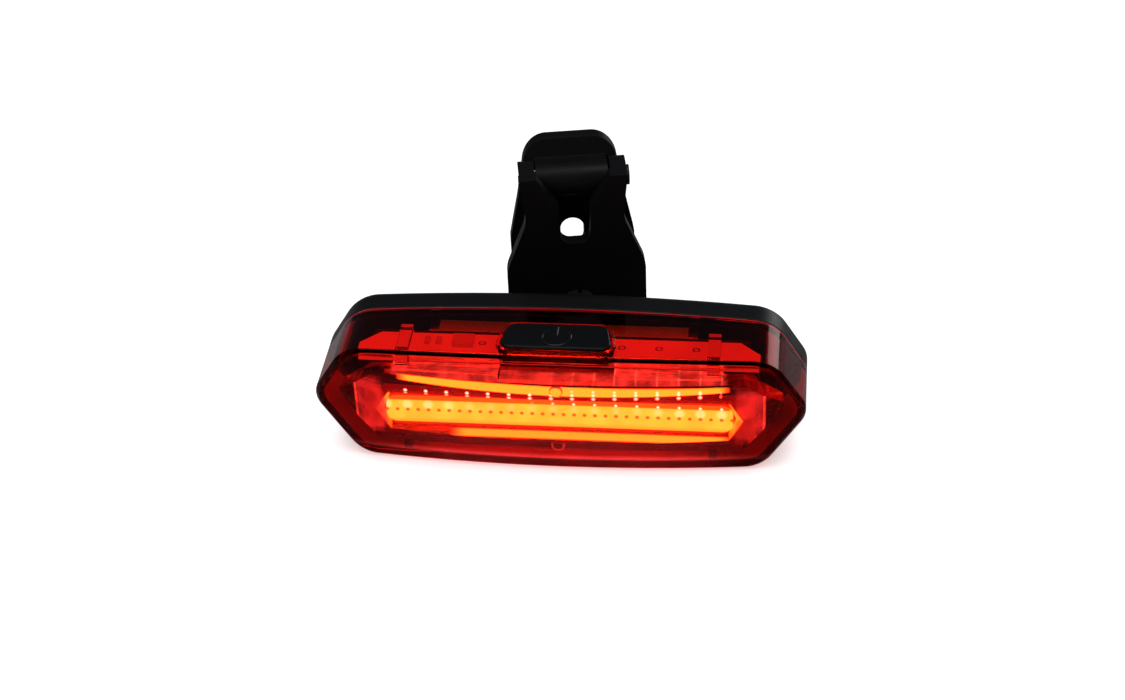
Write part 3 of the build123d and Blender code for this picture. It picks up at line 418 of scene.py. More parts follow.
def make_handled_group():
    """What handling leaves: soft smudges, fine scratches along X, and specks of dust."""
    kinds = {label: "NodeSocketFloat" for label in ("Smudge", "Scratch", "Dust")}
    tree, given, result = start_group("handled surface", [("Smudge Size", 9.0 * mm)], kinds.items())
    place = object_place(tree)
    fineness = maths(tree, "DIVIDE", 1.0, given.outputs["Smudge Size"])
    smudge = noise(tree, place, fineness, detail=4.0, roughness=0.62, distortion=0.8)
    feed(tree, spread(tree, smudge, *smudge_cut), result.inputs["Smudge"])
    along = stretched_place(tree, scale=(60.0, 1500.0, 1500.0), rotation=(0.0, 0.15, 0.1))
    streak = noise(tree, along, scale=1.0, detail=2.0)
    feed(tree, spread(tree, streak, *scratch_cut), result.inputs["Scratch"])
    cells = tree.nodes.new("ShaderNodeTexVoronoi")
    cells.inputs["Scale"].default_value = 700.0
    feed(tree, place, cells.inputs["Vector"])
    speck = spread(tree, cells.outputs["Distance"], *speck_cut)
    patch = spread(tree, noise(tree, place, scale=140.0), *dust_patch_cut)
    feed(tree, product(tree, speck, patch), result.inputs["Dust"])
    return tree


moulded = make_moulded_group()
handled = make_handled_group()


def place_group(tree, group, **numbers):
    """Put the group in the tree with these numbers on its inputs, and give its outputs."""
    node = tree.nodes.new("ShaderNodeGroup")
    node.node_tree = group
    for label, value in numbers.items():
        node.inputs[label.replace("_", " ").title()].default_value = value
    return node.outputs


def start_material(name):
    """A node material with its tree and its Principled shader, linked to its output."""
    material = bpy.data.materials.new(name)
    material.use_nodes = True
    tree = material.node_tree
    tree.nodes.clear()
    output = tree.nodes.new("ShaderNodeOutputMaterial")
    shader = tree.nodes.new("ShaderNodeBsdfPrincipled")
    tree.links.new(shader.outputs["BSDF"], output.inputs["Surface"])
    return material, tree, shader


def plastic(name, dark, light, roughness, grain_size, grain_depth, specular=0.5):
    """Opaque moulded plastic between two near tones: dusty, paler and smoother on its edges."""
    material, tree, shader = start_material(name)
    surface = place_group(
        tree, moulded, grain_size=grain_size, grain_depth=grain_depth, edge_radius=0.12 * mm)
    touch = place_group(tree, handled)
    worn = tuple(worn_paleness * part for part in light)
    dusty = tuple(part + dust_paleness for part in light)
    colour = layered(
        tree, dark,
        (surface["Tone"], light),
        (product(tree, surface["Edge"], worn_share), worn),
        (product(tree, touch["Dust"], dust_share), dusty))
    feed(tree, colour, shader.inputs["Base Color"])
    smudged = roughness * smudge_roughness
    rough = spread(tree, touch["Smudge"], 0.0, 1.0, roughness, smudged)
    smoother = product(tree, surface["Edge"], roughness * worn_smoothing)
    feed(tree, maths(tree, "SUBTRACT", rough, smoother), shader.inputs["Roughness"])
    feed(tree, surface["Normal"], shader.inputs["Normal"])
    shader.inputs["Specular IOR Level"].default_value = specular
    return material


def metal(name, dark, light, roughness, brush):
    """Bare or plated metal with fine marks drawn out along X; brush is how far they are drawn."""
    material, tree, shader = start_material(name)
    surface = place_group(
        tree, moulded, grain_size=0.4 * mm, grain_depth=0.001 * mm, edge_radius=0.05 * mm)
    marks_per_metre = 300.0
    across = marks_per_metre * brush
    drawn = noise(tree, stretched_place(tree, (marks_per_metre, across, across)), scale=1.0)
    feed(tree, mix_colours(tree, drawn, dark, light), shader.inputs["Base Color"])
    smoothest, roughest = roughness * mark_smoothest, roughness * mark_roughest
    rough = spread(tree, drawn, *mark_cut, smoothest, roughest)
    feed(tree, rough, shader.inputs["Roughness"])
    feed(tree, surface["Normal"], shader.inputs["Normal"])
    shader.inputs["Metallic"].default_value = 1.0
    return material


def let_lamps_through(tree, shader, output, tint):
    """Rays from the lamps and from dull surfaces pass the clear plastic unbent."""
    path = tree.nodes.new("ShaderNodeLightPath")
    clear = tree.nodes.new("ShaderNodeBsdfTransparent")
    feed(tree, tint, clear.inputs["Color"])
    mix = tree.nodes.new("ShaderNodeMixShader")
    passing = most(tree, path.outputs["Is Shadow Ray"], path.outputs["Is Diffuse Ray"])
    for socket, source in enumerate((passing, shader.outputs["BSDF"], clear.outputs["BSDF"])):
        tree.links.new(source, mix.inputs[socket])
    tree.links.new(mix.outputs["Shader"], output.inputs["Surface"])


def clear_plastic(name, tint, haze, index, mirror_tint, edge_radius, soaked=None, density=0.0):
    """Polished clear plastic, faintly smudged; soaked is the colour that deepens with thickness."""
    material, tree, shader = start_material(name)
    output = tree.nodes["Material Output"]
    touch = place_group(tree, handled, smudge_size=14.0 * mm)
    surface = place_group(
        tree, moulded, grain_size=6.0 * mm, grain_depth=0.012 * mm, edge_radius=edge_radius)
    warm = tuple(clear_warmth * part for part in tint)
    feed(tree, mix_colours(tree, surface["Tone"], tint, warm), shader.inputs["Base Color"])
    rough = spread(tree, touch["Smudge"], 0.0, 1.0, haze, haze + clear_smudge_haze)
    scratched = product(tree, touch["Scratch"], clear_scratch_haze)
    feed(tree, total(tree, rough, scratched), shader.inputs["Roughness"])
    feed(tree, surface["Normal"], shader.inputs["Normal"])
    shader.inputs["Transmission Weight"].default_value = 1.0
    shader.inputs["IOR"].default_value = index
    shader.inputs["Specular Tint"].default_value = (*mirror_tint, 1)
    if soaked:
        inside = tree.nodes.new("ShaderNodeVolumeAbsorption")
        inside.inputs["Color"].default_value = (*soaked, 1)
        inside.inputs["Density"].default_value = density
        tree.links.new(inside.outputs["Volume"], output.inputs["Volume"])
    let_lamps_through(tree, shader, output, tint)
    return material


def add_glow(tree, colour, shown=1.0, cast=0.0):
    """A glow that the camera and clear pieces see as shown, while dull surfaces get only cast."""
    shader = tree.nodes["Principled BSDF"]
    path = tree.nodes.new("ShaderNodeLightPath")
    seen = most(tree, path.outputs["Is Camera Ray"], path.outputs["Is Transmission Ray"])
    feed(tree, colour, shader.inputs["Emission Color"])
    strength = total(tree, product(tree, seen, shown - cast), cast)
    feed(tree, strength, shader.inputs["Emission Strength"])


def lit_phosphor():
    """Glowing yellow silicone: a dark dot over each die, hot spots and glints over every second."""
    material, tree, shader = start_material("lit phosphor")
    place = object_place(tree)
    x, _, z = split_place(tree)
    height = maths(tree, "SUBTRACT", z, phosphor_middle_z)
    rim = spread(tree, maths(tree, "ABSOLUTE", height), *phosphor_rim)
    top = spread(tree, height, *phosphor_top)
    glint = dots(tree, x, z, rim_glint_z, bright_pitch, rim_glint_reach)
    glint = product(tree, glint, spread(tree, x, *rim_glint_x))
    spot = dots(tree, x, z, hot_spot_z, bright_pitch, hot_spot_reach)
    spot = product(tree, spot, spread(tree, maths(tree, "ABSOLUTE", x), *hot_spot_side))
    dot = dots(tree, x, z, phosphor_middle_z, die_pitch, die_dot_reach)
    cloud = spread(tree, noise(tree, place, scale=260.0), *phosphor_cloud_cut)
    glow = layered(
        tree, mix_colours(tree, cloud, *phosphor_glow),
        (rim, phosphor_rim_glow),
        (top, phosphor_top_glow),
        (glint, rim_glint_glow),
        (spot, hot_spot_glow),
        (product(tree, dot, die_dot_share), die_dot_glow))
    add_glow(tree, glow, phosphor_shown, phosphor_cast)
    grains = noise(tree, place, scale=2500.0)
    feed(tree, mix_colours(tree, grains, *phosphor_skin), shader.inputs["Base Color"])
    feed(tree, spread(tree, grains, *phosphor_roughness_cut), shader.inputs["Roughness"])
    return material


def seen_from_outside(tree):
    """One where the skin is seen from outside, nothing where it is seen from within."""
    geometry = tree.nodes.new("ShaderNodeNewGeometry")
    return maths(tree, "SUBTRACT", 1.0, geometry.outputs["Backfacing"])


def guide_places(tree):
    """Where a point of the clear frame is, and how far its skin faces the front or upward."""
    x, y, z = split_place(tree)
    side = maths(tree, "ABSOLUTE", x)
    lean = tree.nodes.new("ShaderNodeSeparateXYZ")
    geometry = tree.nodes.new("ShaderNodeNewGeometry")
    feed(tree, geometry.outputs["True Normal"], lean.inputs["Vector"])
    outside = seen_from_outside(tree)
    return SimpleNamespace(
        x=x, y=y, z=z, side=side, lean_y=lean.outputs["Y"],
        outward=maths(tree, "POWER", maths(tree, "DIVIDE", side, band_bow_side), 2.0),
        front=product(tree, spread(tree, lean.outputs["Y"], *front_cut), outside),
        upward=product(tree, spread(tree, lean.outputs["Z"], *upward_cut), outside))


def guide_band(tree, at):
    """The painted amber band of light on the frame's front, tilted a little, bowed up towards its
    ends.
    """
    tilt = product(tree, at.x, band_tilt)
    bottom = total(tree, tilt, product(tree, at.outward, band_low_bow), band_low_z)
    top = total(tree, tilt, product(tree, at.outward, band_high_bow), band_high_z)
    band = within(tree, at.z, bottom, top, band_edge)
    return product(tree, band, within(tree, at.x, *band_span_x), at.front)


def guide_glints(tree, at):
    """Three rows of glints over every second die; the highest row shows only on the right."""
    level = total(tree, at.z, product(tree, at.x, glint_tilt), product(tree, at.side, glint_bow))
    middle = dots(tree, at.x, level, middle_glint_z, bright_pitch, middle_glint_reach)
    low = dots(tree, at.x, level, low_glint_z, bright_pitch, low_glint_reach)
    low = product(tree, low, low_glint_share)
    high = dots(tree, at.x, at.z, high_glint_z, bright_pitch, high_glint_reach)
    high = product(tree, high, spread(tree, at.x, *high_glint_x))
    glints = most(tree, middle, low, high)
    return product(tree, glints, at.front, spread(tree, at.side, *glint_side))


def guide_lip(tree, at, uneven):
    """The frame's upper lip, on its front and the front part of its top, where a pale glow is
    painted.
    """
    depth = maths(tree, "SUBTRACT", at.y, product(tree, at.outward, lip_bow))
    ahead = product(tree, most(tree, at.front, at.upward), spread(tree, depth, *lip_y))
    lip = product(tree, within(tree, at.z, *lip_span_z), ahead, uneven)
    return product(tree, lip, within(tree, at.side, *lip_span_side))


def gate_rings(tree, at):
    """Painted rings of light round the marks that moulding leaves in the middle of the frame's
    front.
    """
    rings = []
    for gate_z in gate_heights:
        reach = distance_of(tree, at.side, maths(tree, "SUBTRACT", at.z, gate_z))
        rings.append(within(tree, reach, *gate_ring_span))
    return product(tree, most(tree, *rings), at.front, gate_ring_share)


def light_the_guide(material):
    """Glows painted on the clear frame for the strip's light, from the dim end plates to the
    glints.
    """
    tree = material.node_tree
    at = guide_places(tree)
    cloud = noise(tree, object_place(tree), scale=420.0)
    uneven = spread(tree, cloud, *guide_cloud_cut)
    plate = product(tree, within(tree, at.side, *plate_span_side), at.front, uneven)
    plate = product(tree, plate, within(tree, at.z, *plate_span_z))
    ends = within(tree, at.side, *end_span_side)
    ends = product(tree, ends, within(tree, at.lean_y, *end_span_lean))
    near_strip = total(tree, at.side, product(tree, at.x, end_tilt))
    near_strip = spread(tree, near_strip, *end_amber_side)
    end_glow = mix_colours(tree, near_strip, end_pale_glow, end_amber_glow)
    lip = guide_lip(tree, at, uneven)
    column = spread(tree, off_die(tree, at.x, bright_pitch), *column_reach)
    low_bar = product(tree, within(tree, at.z, *low_bar_span_z), at.upward)
    glow = layered(
        tree, (0.0, 0.0, 0.0),
        (plate, plate_glow),
        (product(tree, ends, uneven), end_glow),
        (lip, lip_glow),
        (product(tree, column, lip, spread(tree, at.x, *column_x)), column_glow),
        (product(tree, low_bar, within(tree, at.x, *low_bar_span_x)), low_bar_glow),
        (guide_band(tree, at), band_glow),
        (gate_rings(tree, at), gate_ring_glow),
        (guide_glints(tree, at), glint_glow))
    add_glow(tree, glow, guide_shown)


def paint_glow_in_lens(material):
    """A faint red glow painted in the front of the lens, for the strip's light its plastic
    scatters.

    It is brighter in a line along the lens's foot, and where the lens meets the housing.
    """
    tree = material.node_tree
    x, y, z = split_place(tree)
    outside = seen_from_outside(tree)
    cloud = noise(tree, object_place(tree), scale=120.0, detail=4.0)
    cloud = spread(tree, cloud, *lens_glow_cloud_cut)
    lens_glow = product(tree, spread(tree, y, *lens_glow_y), spread(tree, z, *lens_glow_z), outside, cloud)
    lens_glow = product(tree, lens_glow, spread(tree, maths(tree, "ABSOLUTE", x), *lens_glow_side))
    # Painted glow along the joint where the lens meets the housing
    joint = product(tree, within(tree, y, *joint_span_y), outside, spread(tree, z, *joint_z), cloud)
    add_glow(tree, layered(
        tree, (0.0, 0.0, 0.0),
        (lens_glow, lens_glow_colour),
        (product(tree, within(tree, z, *foot_line_span_z), lens_glow), foot_line_glow),
        (joint, joint_glow)))


def soak_in_light(material, glow):
    """Paint on a piece a glow for the red light that soaks through it, in soft patches."""
    tree = material.node_tree
    faint = tuple(soak_faintness * part for part in glow)
    patchy = spread(tree, noise(tree, object_place(tree), scale=60.0), *soak_cut)
    add_glow(tree, mix_colours(tree, patchy, faint, glow))


def solder_mask(name):
    """White solder mask over copper: raised tracks along the board, and an uneven gloss."""
    material, tree, shader = start_material(name)
    _, y, _ = split_place(tree)
    track = spread(tree, maths(tree, "PINGPONG", y, track_spacing), *track_cut)
    patches = noise(tree, object_place(tree), scale=260.0, detail=0.0)
    track = product(tree, track, spread(tree, patches, *track_patch_cut))
    feed(tree, raised(tree, track, track_rise), shader.inputs["Normal"])
    colour = mix_colours(tree, track, (0.78, 0.79, 0.77), (0.7, 0.72, 0.68))
    feed(tree, colour, shader.inputs["Base Color"])
    speckle = noise(tree, object_place(tree), scale=1800.0)
    feed(tree, spread(tree, speckle, *mask_roughness_cut), shader.inputs["Roughness"])
    return material


def thin_film():
    """Amber polyimide film with fine creases, and a faint glow painted on it for the strip's light.
    """
    material, tree, shader = start_material("amber film")
    place = object_place(tree)
    crease = noise(tree, place, scale=320.0, detail=5.0, roughness=0.65, distortion=1.5)
    colour = mix_colours(tree, crease, (0.3, 0.08, 0.006), (0.42, 0.14, 0.012))
    feed(tree, colour, shader.inputs["Base Color"])
    feed(tree, spread(tree, crease, *film_roughness_cut), shader.inputs["Roughness"])
    feed(tree, raised(tree, crease, crease_rise), shader.inputs["Normal"])
    shader.inputs["Coat Weight"].default_value = 0.4
    add_glow(tree, mix_colours(tree, crease, (0.04, 0.06, 0.004), (0.1, 0.14, 0.008)))
    return material


housing_plastic = plastic(
    "satin black housing", (0.005, 0.005, 0.0055), (0.009, 0.009, 0.0095),
    roughness=0.42, grain_size=0.22 * mm, grain_depth=0.006 * mm, specular=0.3)
clip_plastic = plastic(
    "black clip plastic", (0.004, 0.004, 0.0043), (0.007, 0.007, 0.0075),
    roughness=0.5, grain_size=0.3 * mm, grain_depth=0.006 * mm, specular=0.16)
button_skin = plastic(
    "soft black button", (0.005, 0.005, 0.006), (0.007, 0.007, 0.008),
    roughness=0.38, grain_size=0.15 * mm, grain_depth=0.004 * mm, specular=0.2)
symbol_ink = plastic(
    "glossy black relief", (0.008, 0.008, 0.009), (0.014, 0.014, 0.016),
    roughness=0.16, grain_size=0.2 * mm, grain_depth=0.001 * mm)
inner_plastic = plastic(
    "black inner plastic", (0.015, 0.015, 0.016), (0.03, 0.03, 0.032),
    roughness=0.55, grain_size=0.3 * mm, grain_depth=0.006 * mm)
black_rubber = plastic(
    "black rubber", (0.01, 0.01, 0.01), (0.018, 0.018, 0.018),
    roughness=0.7, grain_size=0.12 * mm, grain_depth=0.008 * mm, specular=0.3)
black_foam = plastic(
    "black foam", (0.02, 0.02, 0.02), (0.06, 0.06, 0.06),
    roughness=0.95, grain_size=0.35 * mm, grain_depth=0.15 * mm, specular=0.2)
chip_plastic = plastic(
    "black chip", (0.02, 0.02, 0.02), (0.04, 0.04, 0.04),
    roughness=0.4, grain_size=0.08 * mm, grain_depth=0.003 * mm)
pale_parts = plastic(
    "pale board parts", (0.5, 0.47, 0.42), (0.62, 0.6, 0.55),
    roughness=0.4, grain_size=0.08 * mm, grain_depth=0.003 * mm)
blackened_steel = plastic(
    "blackened steel", (0.006, 0.006, 0.007), (0.012, 0.012, 0.013),
    roughness=0.4, grain_size=0.1 * mm, grain_depth=0.003 * mm, specular=0.4)
small_led = plastic(
    "small lamp lens", (0.85, 0.83, 0.7), (0.92, 0.9, 0.8),
    roughness=0.2, grain_size=0.1 * mm, grain_depth=0.002 * mm)
bright_steel = metal(
    "bright steel", (0.5, 0.5, 0.51), (0.68, 0.68, 0.7), roughness=0.25, brush=8.0)
nickel = metal(
    "nickel plate", (0.62, 0.6, 0.57), (0.75, 0.73, 0.7), roughness=0.18, brush=3.0)
rolled_aluminium = metal(
    "rolled aluminium", (0.7, 0.7, 0.72), (0.85, 0.85, 0.87), roughness=0.3, brush=12.0)
cell_foil = metal(
    "cell foil", (0.6, 0.6, 0.62), (0.75, 0.75, 0.77), roughness=0.35, brush=1.0)
gilt = metal(
    "gilt pad", (0.8, 0.6, 0.25), (0.9, 0.7, 0.35), roughness=0.2, brush=2.0)
lens_plastic = clear_plastic(
    "red lens", tint=(1.0, 0.9, 0.9), haze=0.012, index=1.5, mirror_tint=(0.35, 0.03, 0.03),
    edge_radius=0.35 * mm, soaked=(0.985, 0.2, 0.01), density=2600.0)
optic_plastic = clear_plastic(
    "clear optic", tint=(1.0, 0.985, 0.975), haze=0.01, index=1.49, mirror_tint=(1.0, 1.0, 1.0),
    edge_radius=0.08 * mm)
phosphor = lit_phosphor()
white_mask = solder_mask("white solder mask")
lit_mask = solder_mask("lit solder mask")
amber_film = thin_film()
# Painted light: glows on the lens, the clear frame, the lit board and its pale parts
paint_glow_in_lens(lens_plastic)
light_the_guide(optic_plastic)
soak_in_light(lit_mask, board_glow)
soak_in_light(pale_parts, parts_glow)

node_finish = {
    "rear_housing": housing_plastic,
    "lens_cover": lens_plastic,
    "housing_gasket": black_rubber,
    "power_button": button_skin,
    "optic_frame": optic_plastic,
    "led_phosphor": phosphor,
    "led_dies": gilt,
    "led_strip": white_mask,
    "heat_spreader": rolled_aluminium,
    "main_board": lit_mask,
    "board_parts": pale_parts,
    "switch_body": bright_steel,
    "switch_plunger": inner_plastic,
    "board_screws": bright_steel,
    "inner_chassis": inner_plastic,
    "battery_cell": cell_foil,
    "battery_tape": amber_film,
    "battery_foam": black_foam,
    "charge_board": white_mask,
    "charge_socket": nickel,
    "charge_tongue": chip_plastic,
    "charge_led": small_led,
    "port_flap": black_rubber,
    "flap_pin": bright_steel,
    "mount_yoke": housing_plastic,
    "yoke_screws": blackened_steel,
    "aim_screw": blackened_steel,
    "aim_nut": blackened_steel,
    "aim_washer": bright_steel,
    "clip_bracket": clip_plastic,
    "hinge_pin": blackened_steel,
    "torsion_spring": bright_steel,
    "front_pad": black_rubber,
    "clip_lever": clip_plastic,
    "rear_pad": black_rubber,
}
for node, finish in node_finish.items():
    for holder in nodes[node].material_slots:
        holder.material = finish


# Small pieces of the lamp that the solids leave out

def start_pattern(name, numbers):
    """A geometry tree with named number inputs: it gives the tree, the inputs and the output."""
    tree = bpy.data.node_groups.new(name, "GeometryNodeTree")
    tree.interface.new_socket("Geometry", in_out="INPUT", socket_type="NodeSocketGeometry")
    for label, value in numbers:
        kind = "NodeSocketInt" if isinstance(value, int) else "NodeSocketFloat"
        socket = tree.interface.new_socket(label, in_out="INPUT", socket_type=kind)
        socket.default_value = value
    tree.interface.new_socket("Geometry", in_out="OUTPUT", socket_type="NodeSocketGeometry")
    return tree, tree.nodes.new("NodeGroupInput").outputs, tree.nodes.new("NodeGroupOutput")


def step(tree, kind, **inputs):
    """Add a node of this kind, feed its inputs by their labels, and give the node."""
    node = tree.nodes.new(kind)
    for label, value in inputs.items():
        feed(tree, value, node.inputs[label.replace("_", " ")])
    return node


def vector_of(tree, x=0.0, y=0.0, z=0.0):
    """A vector from numbers or sockets."""
    return step(tree, "ShaderNodeCombineXYZ", X=x, Y=y, Z=z).outputs["Vector"]


def joined(tree, *shapes):
    """These shapes as one."""
    node = tree.nodes.new("GeometryNodeJoinGeometry")
    for shape in shapes:
        tree.links.new(shape, node.inputs["Geometry"])
    return node.outputs["Geometry"]


def low_bead(tree, path, half_width, rise, sides=10):
    """Sweep a round bead along a flat path and press it down to its rise."""
    profile = step(tree, "GeometryNodeCurvePrimitiveCircle", Resolution=sides, Radius=half_width)
    outline = profile.outputs["Curve"]
    sweep = step(tree, "GeometryNodeCurveToMesh", Curve=path, Profile_Curve=outline, Fill_Caps=True)
    pressed = vector_of(tree, 1.0, 1.0, maths(tree, "DIVIDE", rise, half_width))
    low = step(tree, "GeometryNodeTransform", Geometry=sweep.outputs["Mesh"], Scale=pressed)
    return low.outputs["Geometry"]


def finish_pattern(tree, shape, place, finish, result):
    """Put the shape in its place, make it real and give it its finish."""
    placed = step(tree, "GeometryNodeTransform", Geometry=shape, Translation=place)
    real = step(tree, "GeometryNodeRealizeInstances", Geometry=placed.outputs["Geometry"])
    painted = step(tree, "GeometryNodeSetMaterial", Geometry=real.outputs["Geometry"])
    painted.inputs["Material"].default_value = finish
    tree.links.new(painted.outputs["Geometry"], result.inputs["Geometry"])


def grow_piece(name, tree, values, finish, body):
    """Run a geometry tree with these values and keep its mesh as a piece that rides on a body."""
    seed = bpy.data.objects.new(name + " seed", bpy.data.meshes.new(name + " seed"))
    bpy.context.scene.collection.objects.link(seed)
    growth = seed.modifiers.new(name, "NODES")
    growth.node_group = tree
    for item in tree.interface.items_tree:
        if item.in_out == "INPUT" and item.name in values:
            growth[item.identifier] = values[item.name]
    grown = seed.evaluated_get(bpy.context.evaluated_depsgraph_get())
    mesh = bpy.data.meshes.new_from_object(grown)
    seed.modifiers.remove(growth)
    bpy.data.objects.remove(seed)
    mesh.name = name
    shape = bmesh.new()
    shape.from_mesh(mesh)
    bmesh.ops.recalc_face_normals(shape, faces=shape.faces)
    shape.to_mesh(mesh)
    shape.free()
    mesh.materials.clear()
    mesh.materials.append(finish)
    mesh.shade_smooth()
    mesh.set_sharp_from_angle(angle=math.radians(50))
    piece = bpy.data.objects.new(name, mesh)
    bpy.context.scene.collection.objects.link(piece)
    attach(piece, body)


def power_symbol():
    """The ring and bar in low relief on top of the button."""
    low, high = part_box("power_button")
    values = {
        "Ring Radius": 2.15 * mm,
        "Line Half Width": 0.17 * mm,
        "Relief": 0.09 * mm,
        "Opening": math.radians(76),
        "Bar Start": 0.3 * mm,
        "Bar End": 2.5 * mm,
        "Centre X": (low.x + high.x) / 2,
        "Centre Y": (low.y + high.y) / 2 - 0.5 * mm,
        "Centre Z": high.z,
    }
    tree, given, result = start_pattern("power symbol", values.items())
    half_opening = maths(tree, "DIVIDE", given["Opening"], 2.0)
    start = total(tree, half_opening, math.pi / 2)
    sweep = maths(tree, "SUBTRACT", 2 * math.pi, given["Opening"])
    ring = step(
        tree, "GeometryNodeCurveArc", Resolution=56, Radius=given["Ring Radius"],
        Start_Angle=start, Sweep_Angle=sweep)
    ends = [vector_of(tree, y=given[label]) for label in ("Bar Start", "Bar End")]
    bar = step(tree, "GeometryNodeCurvePrimitiveLine", Start=ends[0], End=ends[1])
    lines = joined(tree, ring.outputs["Curve"], bar.outputs["Curve"])
    bead = low_bead(tree, lines, given["Line Half Width"], given["Relief"])
    place = vector_of(tree, given["Centre X"], given["Centre Y"], given["Centre Z"])
    finish_pattern(tree, bead, place, symbol_ink, result)
    body = body_of(nodes["power_button"])[0]
    grow_piece("power_symbol", tree, values, symbol_ink, body)


def board_hole_rings():
    """Plated rings round the holes of the main board: a row of three, and one on its own."""
    board_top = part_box("main_board")[1].z
    values = {
        "Hole Radius": 0.4 * mm,
        "Ring Half Width": 0.09 * mm,
        "Rise": 0.03 * mm,
        "Row Start": 9.6 * mm,
        "Row Pitch": 5.6 * mm,
        "Row Count": 3,
        "Lone Hole": -11.6 * mm,
        "Holes Y": -4.6 * mm,
        "Board Top": board_top,
    }
    tree, given, result = start_pattern("board hole rings", values.items())
    circle_radius = total(tree, given["Hole Radius"], given["Ring Half Width"])
    circle = step(tree, "GeometryNodeCurvePrimitiveCircle", Radius=circle_radius)
    ring = low_bead(tree, circle.outputs["Curve"], given["Ring Half Width"], given["Rise"], sides=8)
    start = vector_of(tree, x=given["Row Start"])
    offset = vector_of(tree, x=given["Row Pitch"])
    row = step(
        tree, "GeometryNodeMeshLine", Count=given["Row Count"], Start_Location=start, Offset=offset)
    lone_place = vector_of(tree, x=given["Lone Hole"])
    lone = step(tree, "GeometryNodeMeshLine", Count=1, Start_Location=lone_place)
    places = joined(tree, row.outputs["Mesh"], lone.outputs["Mesh"])
    rings = step(tree, "GeometryNodeInstanceOnPoints", Points=places, Instance=ring)
    place = vector_of(tree, y=given["Holes Y"], z=given["Board Top"])
    finish_pattern(tree, rings.outputs["Instances"], place, gilt, result)
    body = body_of(nodes["main_board"])[0]
    grow_piece("board_hole_rings", tree, values, gilt, body)


def frame_shade_feet():
    """Two small dark feet on which the clear frame stands inside the lens, dark as painted shade
    under its arms.
    """
    values = {
        "Foot Width": 1.2 * mm,
        "Foot Depth": 1.0 * mm,
        "Foot Height": 1.45 * mm,
        "Between Feet": 47.0 * mm,
        "Feet Y": -8.0 * mm,
        "Foot Bottom": 1.42 * mm,
    }
    tree, given, result = start_pattern("frame shade feet", values.items())
    size = vector_of(tree, given["Foot Width"], given["Foot Depth"], given["Foot Height"])
    foot = step(tree, "GeometryNodeMeshCube", Size=size).outputs["Mesh"]
    start = vector_of(tree, x=maths(tree, "DIVIDE", given["Between Feet"], -2.0))
    gap = vector_of(tree, x=given["Between Feet"])
    row = step(tree, "GeometryNodeMeshLine", Count=2, Start_Location=start, Offset=gap)
    feet = step(tree, "GeometryNodeInstanceOnPoints", Points=row.outputs["Mesh"], Instance=foot)
    middle = total(tree, given["Foot Bottom"], maths(tree, "DIVIDE", given["Foot Height"], 2.0))
    place = vector_of(tree, y=given["Feet Y"], z=middle)
    finish_pattern(tree, feet.outputs["Instances"], place, black_rubber, result)
    body = body_of(nodes["optic_frame"])[0]
    grow_piece("frame_shade_feet", tree, values, black_rubber, body)


power_symbol()
board_hole_rings()
frame_shade_feet()


# The table, the lamps and the camera

def white_table():
    """A wide white table top: white to the camera, keeping the object's shadow, with painted shade
    close to it.
    """
    material = bpy.data.materials.new("white table")
    material.use_nodes = True
    tree = material.node_tree
    tree.nodes.clear()
    output = tree.nodes.new("ShaderNodeOutputMaterial")
    dull = tree.nodes.new("ShaderNodeBsdfDiffuse")
    tone = noise(tree, object_place(tree), scale=30.0)
    feed(tree, mix_colours(tree, tone, (0.5, 0.5, 0.5), (0.52, 0.52, 0.52)), dull.inputs["Color"])
    path = tree.nodes.new("ShaderNodeLightPath")
    glow = tree.nodes.new("ShaderNodeEmission")
    # Painted shade: the white shown to the camera dims where ambient occlusion finds the object
    # close
    openness = tree.nodes.new("ShaderNodeAmbientOcclusion")
    openness.inputs["Distance"].default_value = 6.0 * mm
    lift = spread(tree, openness.outputs["AO"], *table_openness_cut)
    feed(tree, product(tree, path.outputs["Is Camera Ray"], lift), glow.inputs["Strength"])
    both = tree.nodes.new("ShaderNodeAddShader")
    tree.links.new(dull.outputs["BSDF"], both.inputs[0])
    tree.links.new(glow.outputs["Emission"], both.inputs[1])
    tree.links.new(both.outputs["Shader"], output.inputs["Surface"])
    reach = 3.0
    below = cad_low.z - 0.02 * mm
    corners = [(x * reach, y * reach, below) for x, y in ((-1, -1), (1, -1), (1, 1), (-1, 1))]
    mesh = bpy.data.meshes.new("table_top")
    mesh.from_pydata(corners, [], [(0, 1, 2, 3)])
    mesh.materials.append(material)
    table = bpy.data.objects.new("table_top", mesh)
    bpy.context.scene.collection.objects.link(table)


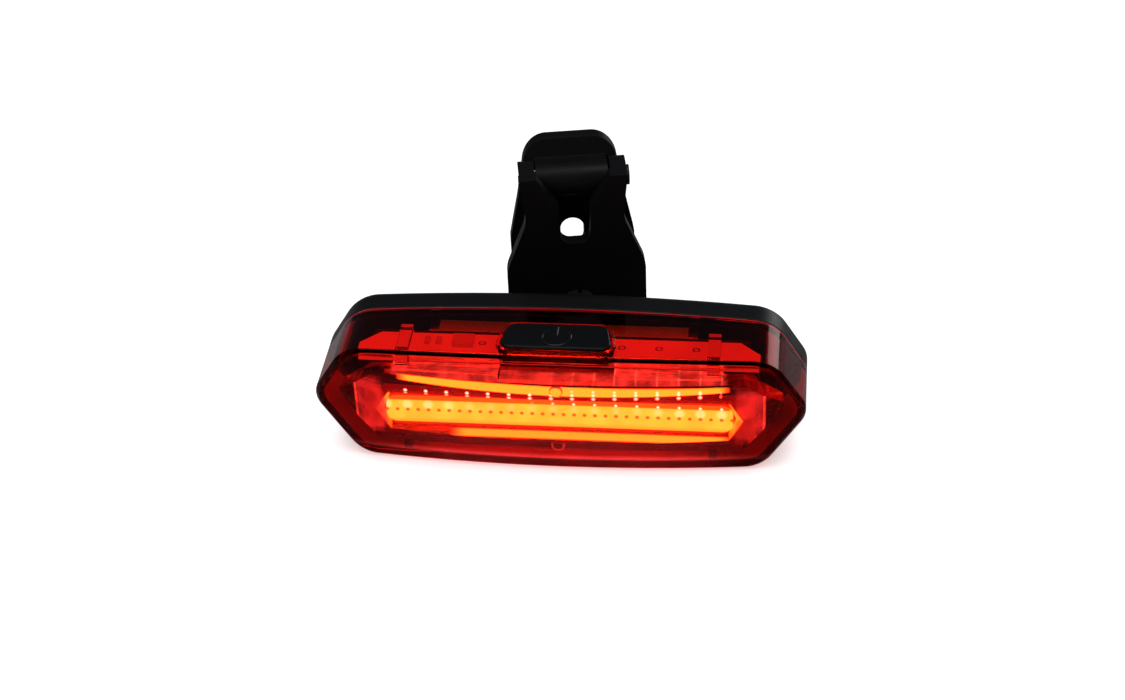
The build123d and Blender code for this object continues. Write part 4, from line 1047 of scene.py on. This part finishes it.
def soft_lamp(name, place, aim, width, height, power):
    """A rectangular softbox at a place, aimed at another."""
    light = bpy.data.lights.new(name, "AREA")
    light.shape = "RECTANGLE"
    light.size = width
    light.size_y = height
    light.energy = power
    lamp = bpy.data.objects.new(name, light)
    lamp.location = place
    lamp.rotation_mode = "QUATERNION"
    lamp.rotation_quaternion = (Vector(aim) - Vector(place)).to_track_quat("-Z", "Y")
    bpy.context.scene.collection.objects.link(lamp)


def photo_camera():
    """The camera of the photograph, set so that the lens's ridge lands on its own pixel."""
    pitch, yaw, roll = (math.radians(angle) for angle in (camera_pitch, camera_yaw, camera_roll))
    forward = Vector((
        -math.sin(yaw) * math.cos(pitch), math.cos(yaw) * math.cos(pitch), -math.sin(pitch)))
    level = Vector((math.cos(yaw), math.sin(yaw), 0))
    upright = level.cross(forward)
    right = level * math.cos(roll) - upright * math.sin(roll)
    up = upright * math.cos(roll) + level * math.sin(roll)
    turn = Matrix((right, up, -forward)).transposed()
    offset_x = (ridge_px[0] - picture_width_px / 2) / focal_px * ridge_distance
    offset_y = -(ridge_px[1] - picture_height_px / 2) / focal_px * ridge_distance
    data = bpy.data.cameras.new("photo camera")
    data.sensor_width = sensor_width_mm
    data.lens = focal_px / picture_width_px * sensor_width_mm
    data.clip_start = nearest_seen
    data.clip_end = farthest_seen
    camera = bpy.data.objects.new("photo camera", data)
    camera.matrix_world = turn.to_4x4()
    camera.location = ridge_point - turn @ Vector((offset_x, offset_y, -ridge_distance))
    bpy.context.scene.collection.objects.link(camera)
    bpy.context.scene.camera = camera


def dim_room():
    """A dim, slightly blue room round the table."""
    world = bpy.data.worlds.new("dim room")
    world.use_nodes = True
    ground = world.node_tree.nodes["Background"]
    ground.inputs["Color"].default_value = (0.75, 0.85, 1.0, 1)
    ground.inputs["Strength"].default_value = 0.07
    bpy.context.scene.world = world


white_table()
dim_room()
soft_lamp(
    "overhead softbox", place=(0, -0.02, 0.75), aim=(0, 0, 0), width=0.7, height=0.35, power=2.0)
soft_lamp(
    "front softbox", place=(-0.35, -0.65, 0.55), aim=(0, 0, 0.01), width=0.5, height=0.4, power=0.9)
soft_lamp(
    "rear softbox", place=(0.5, 0.7, 0.2), aim=(0, 0.01, 0.02), width=0.4, height=0.3, power=0.9)
photo_camera()
bpy.context.scene.view_settings.view_transform = "Standard"
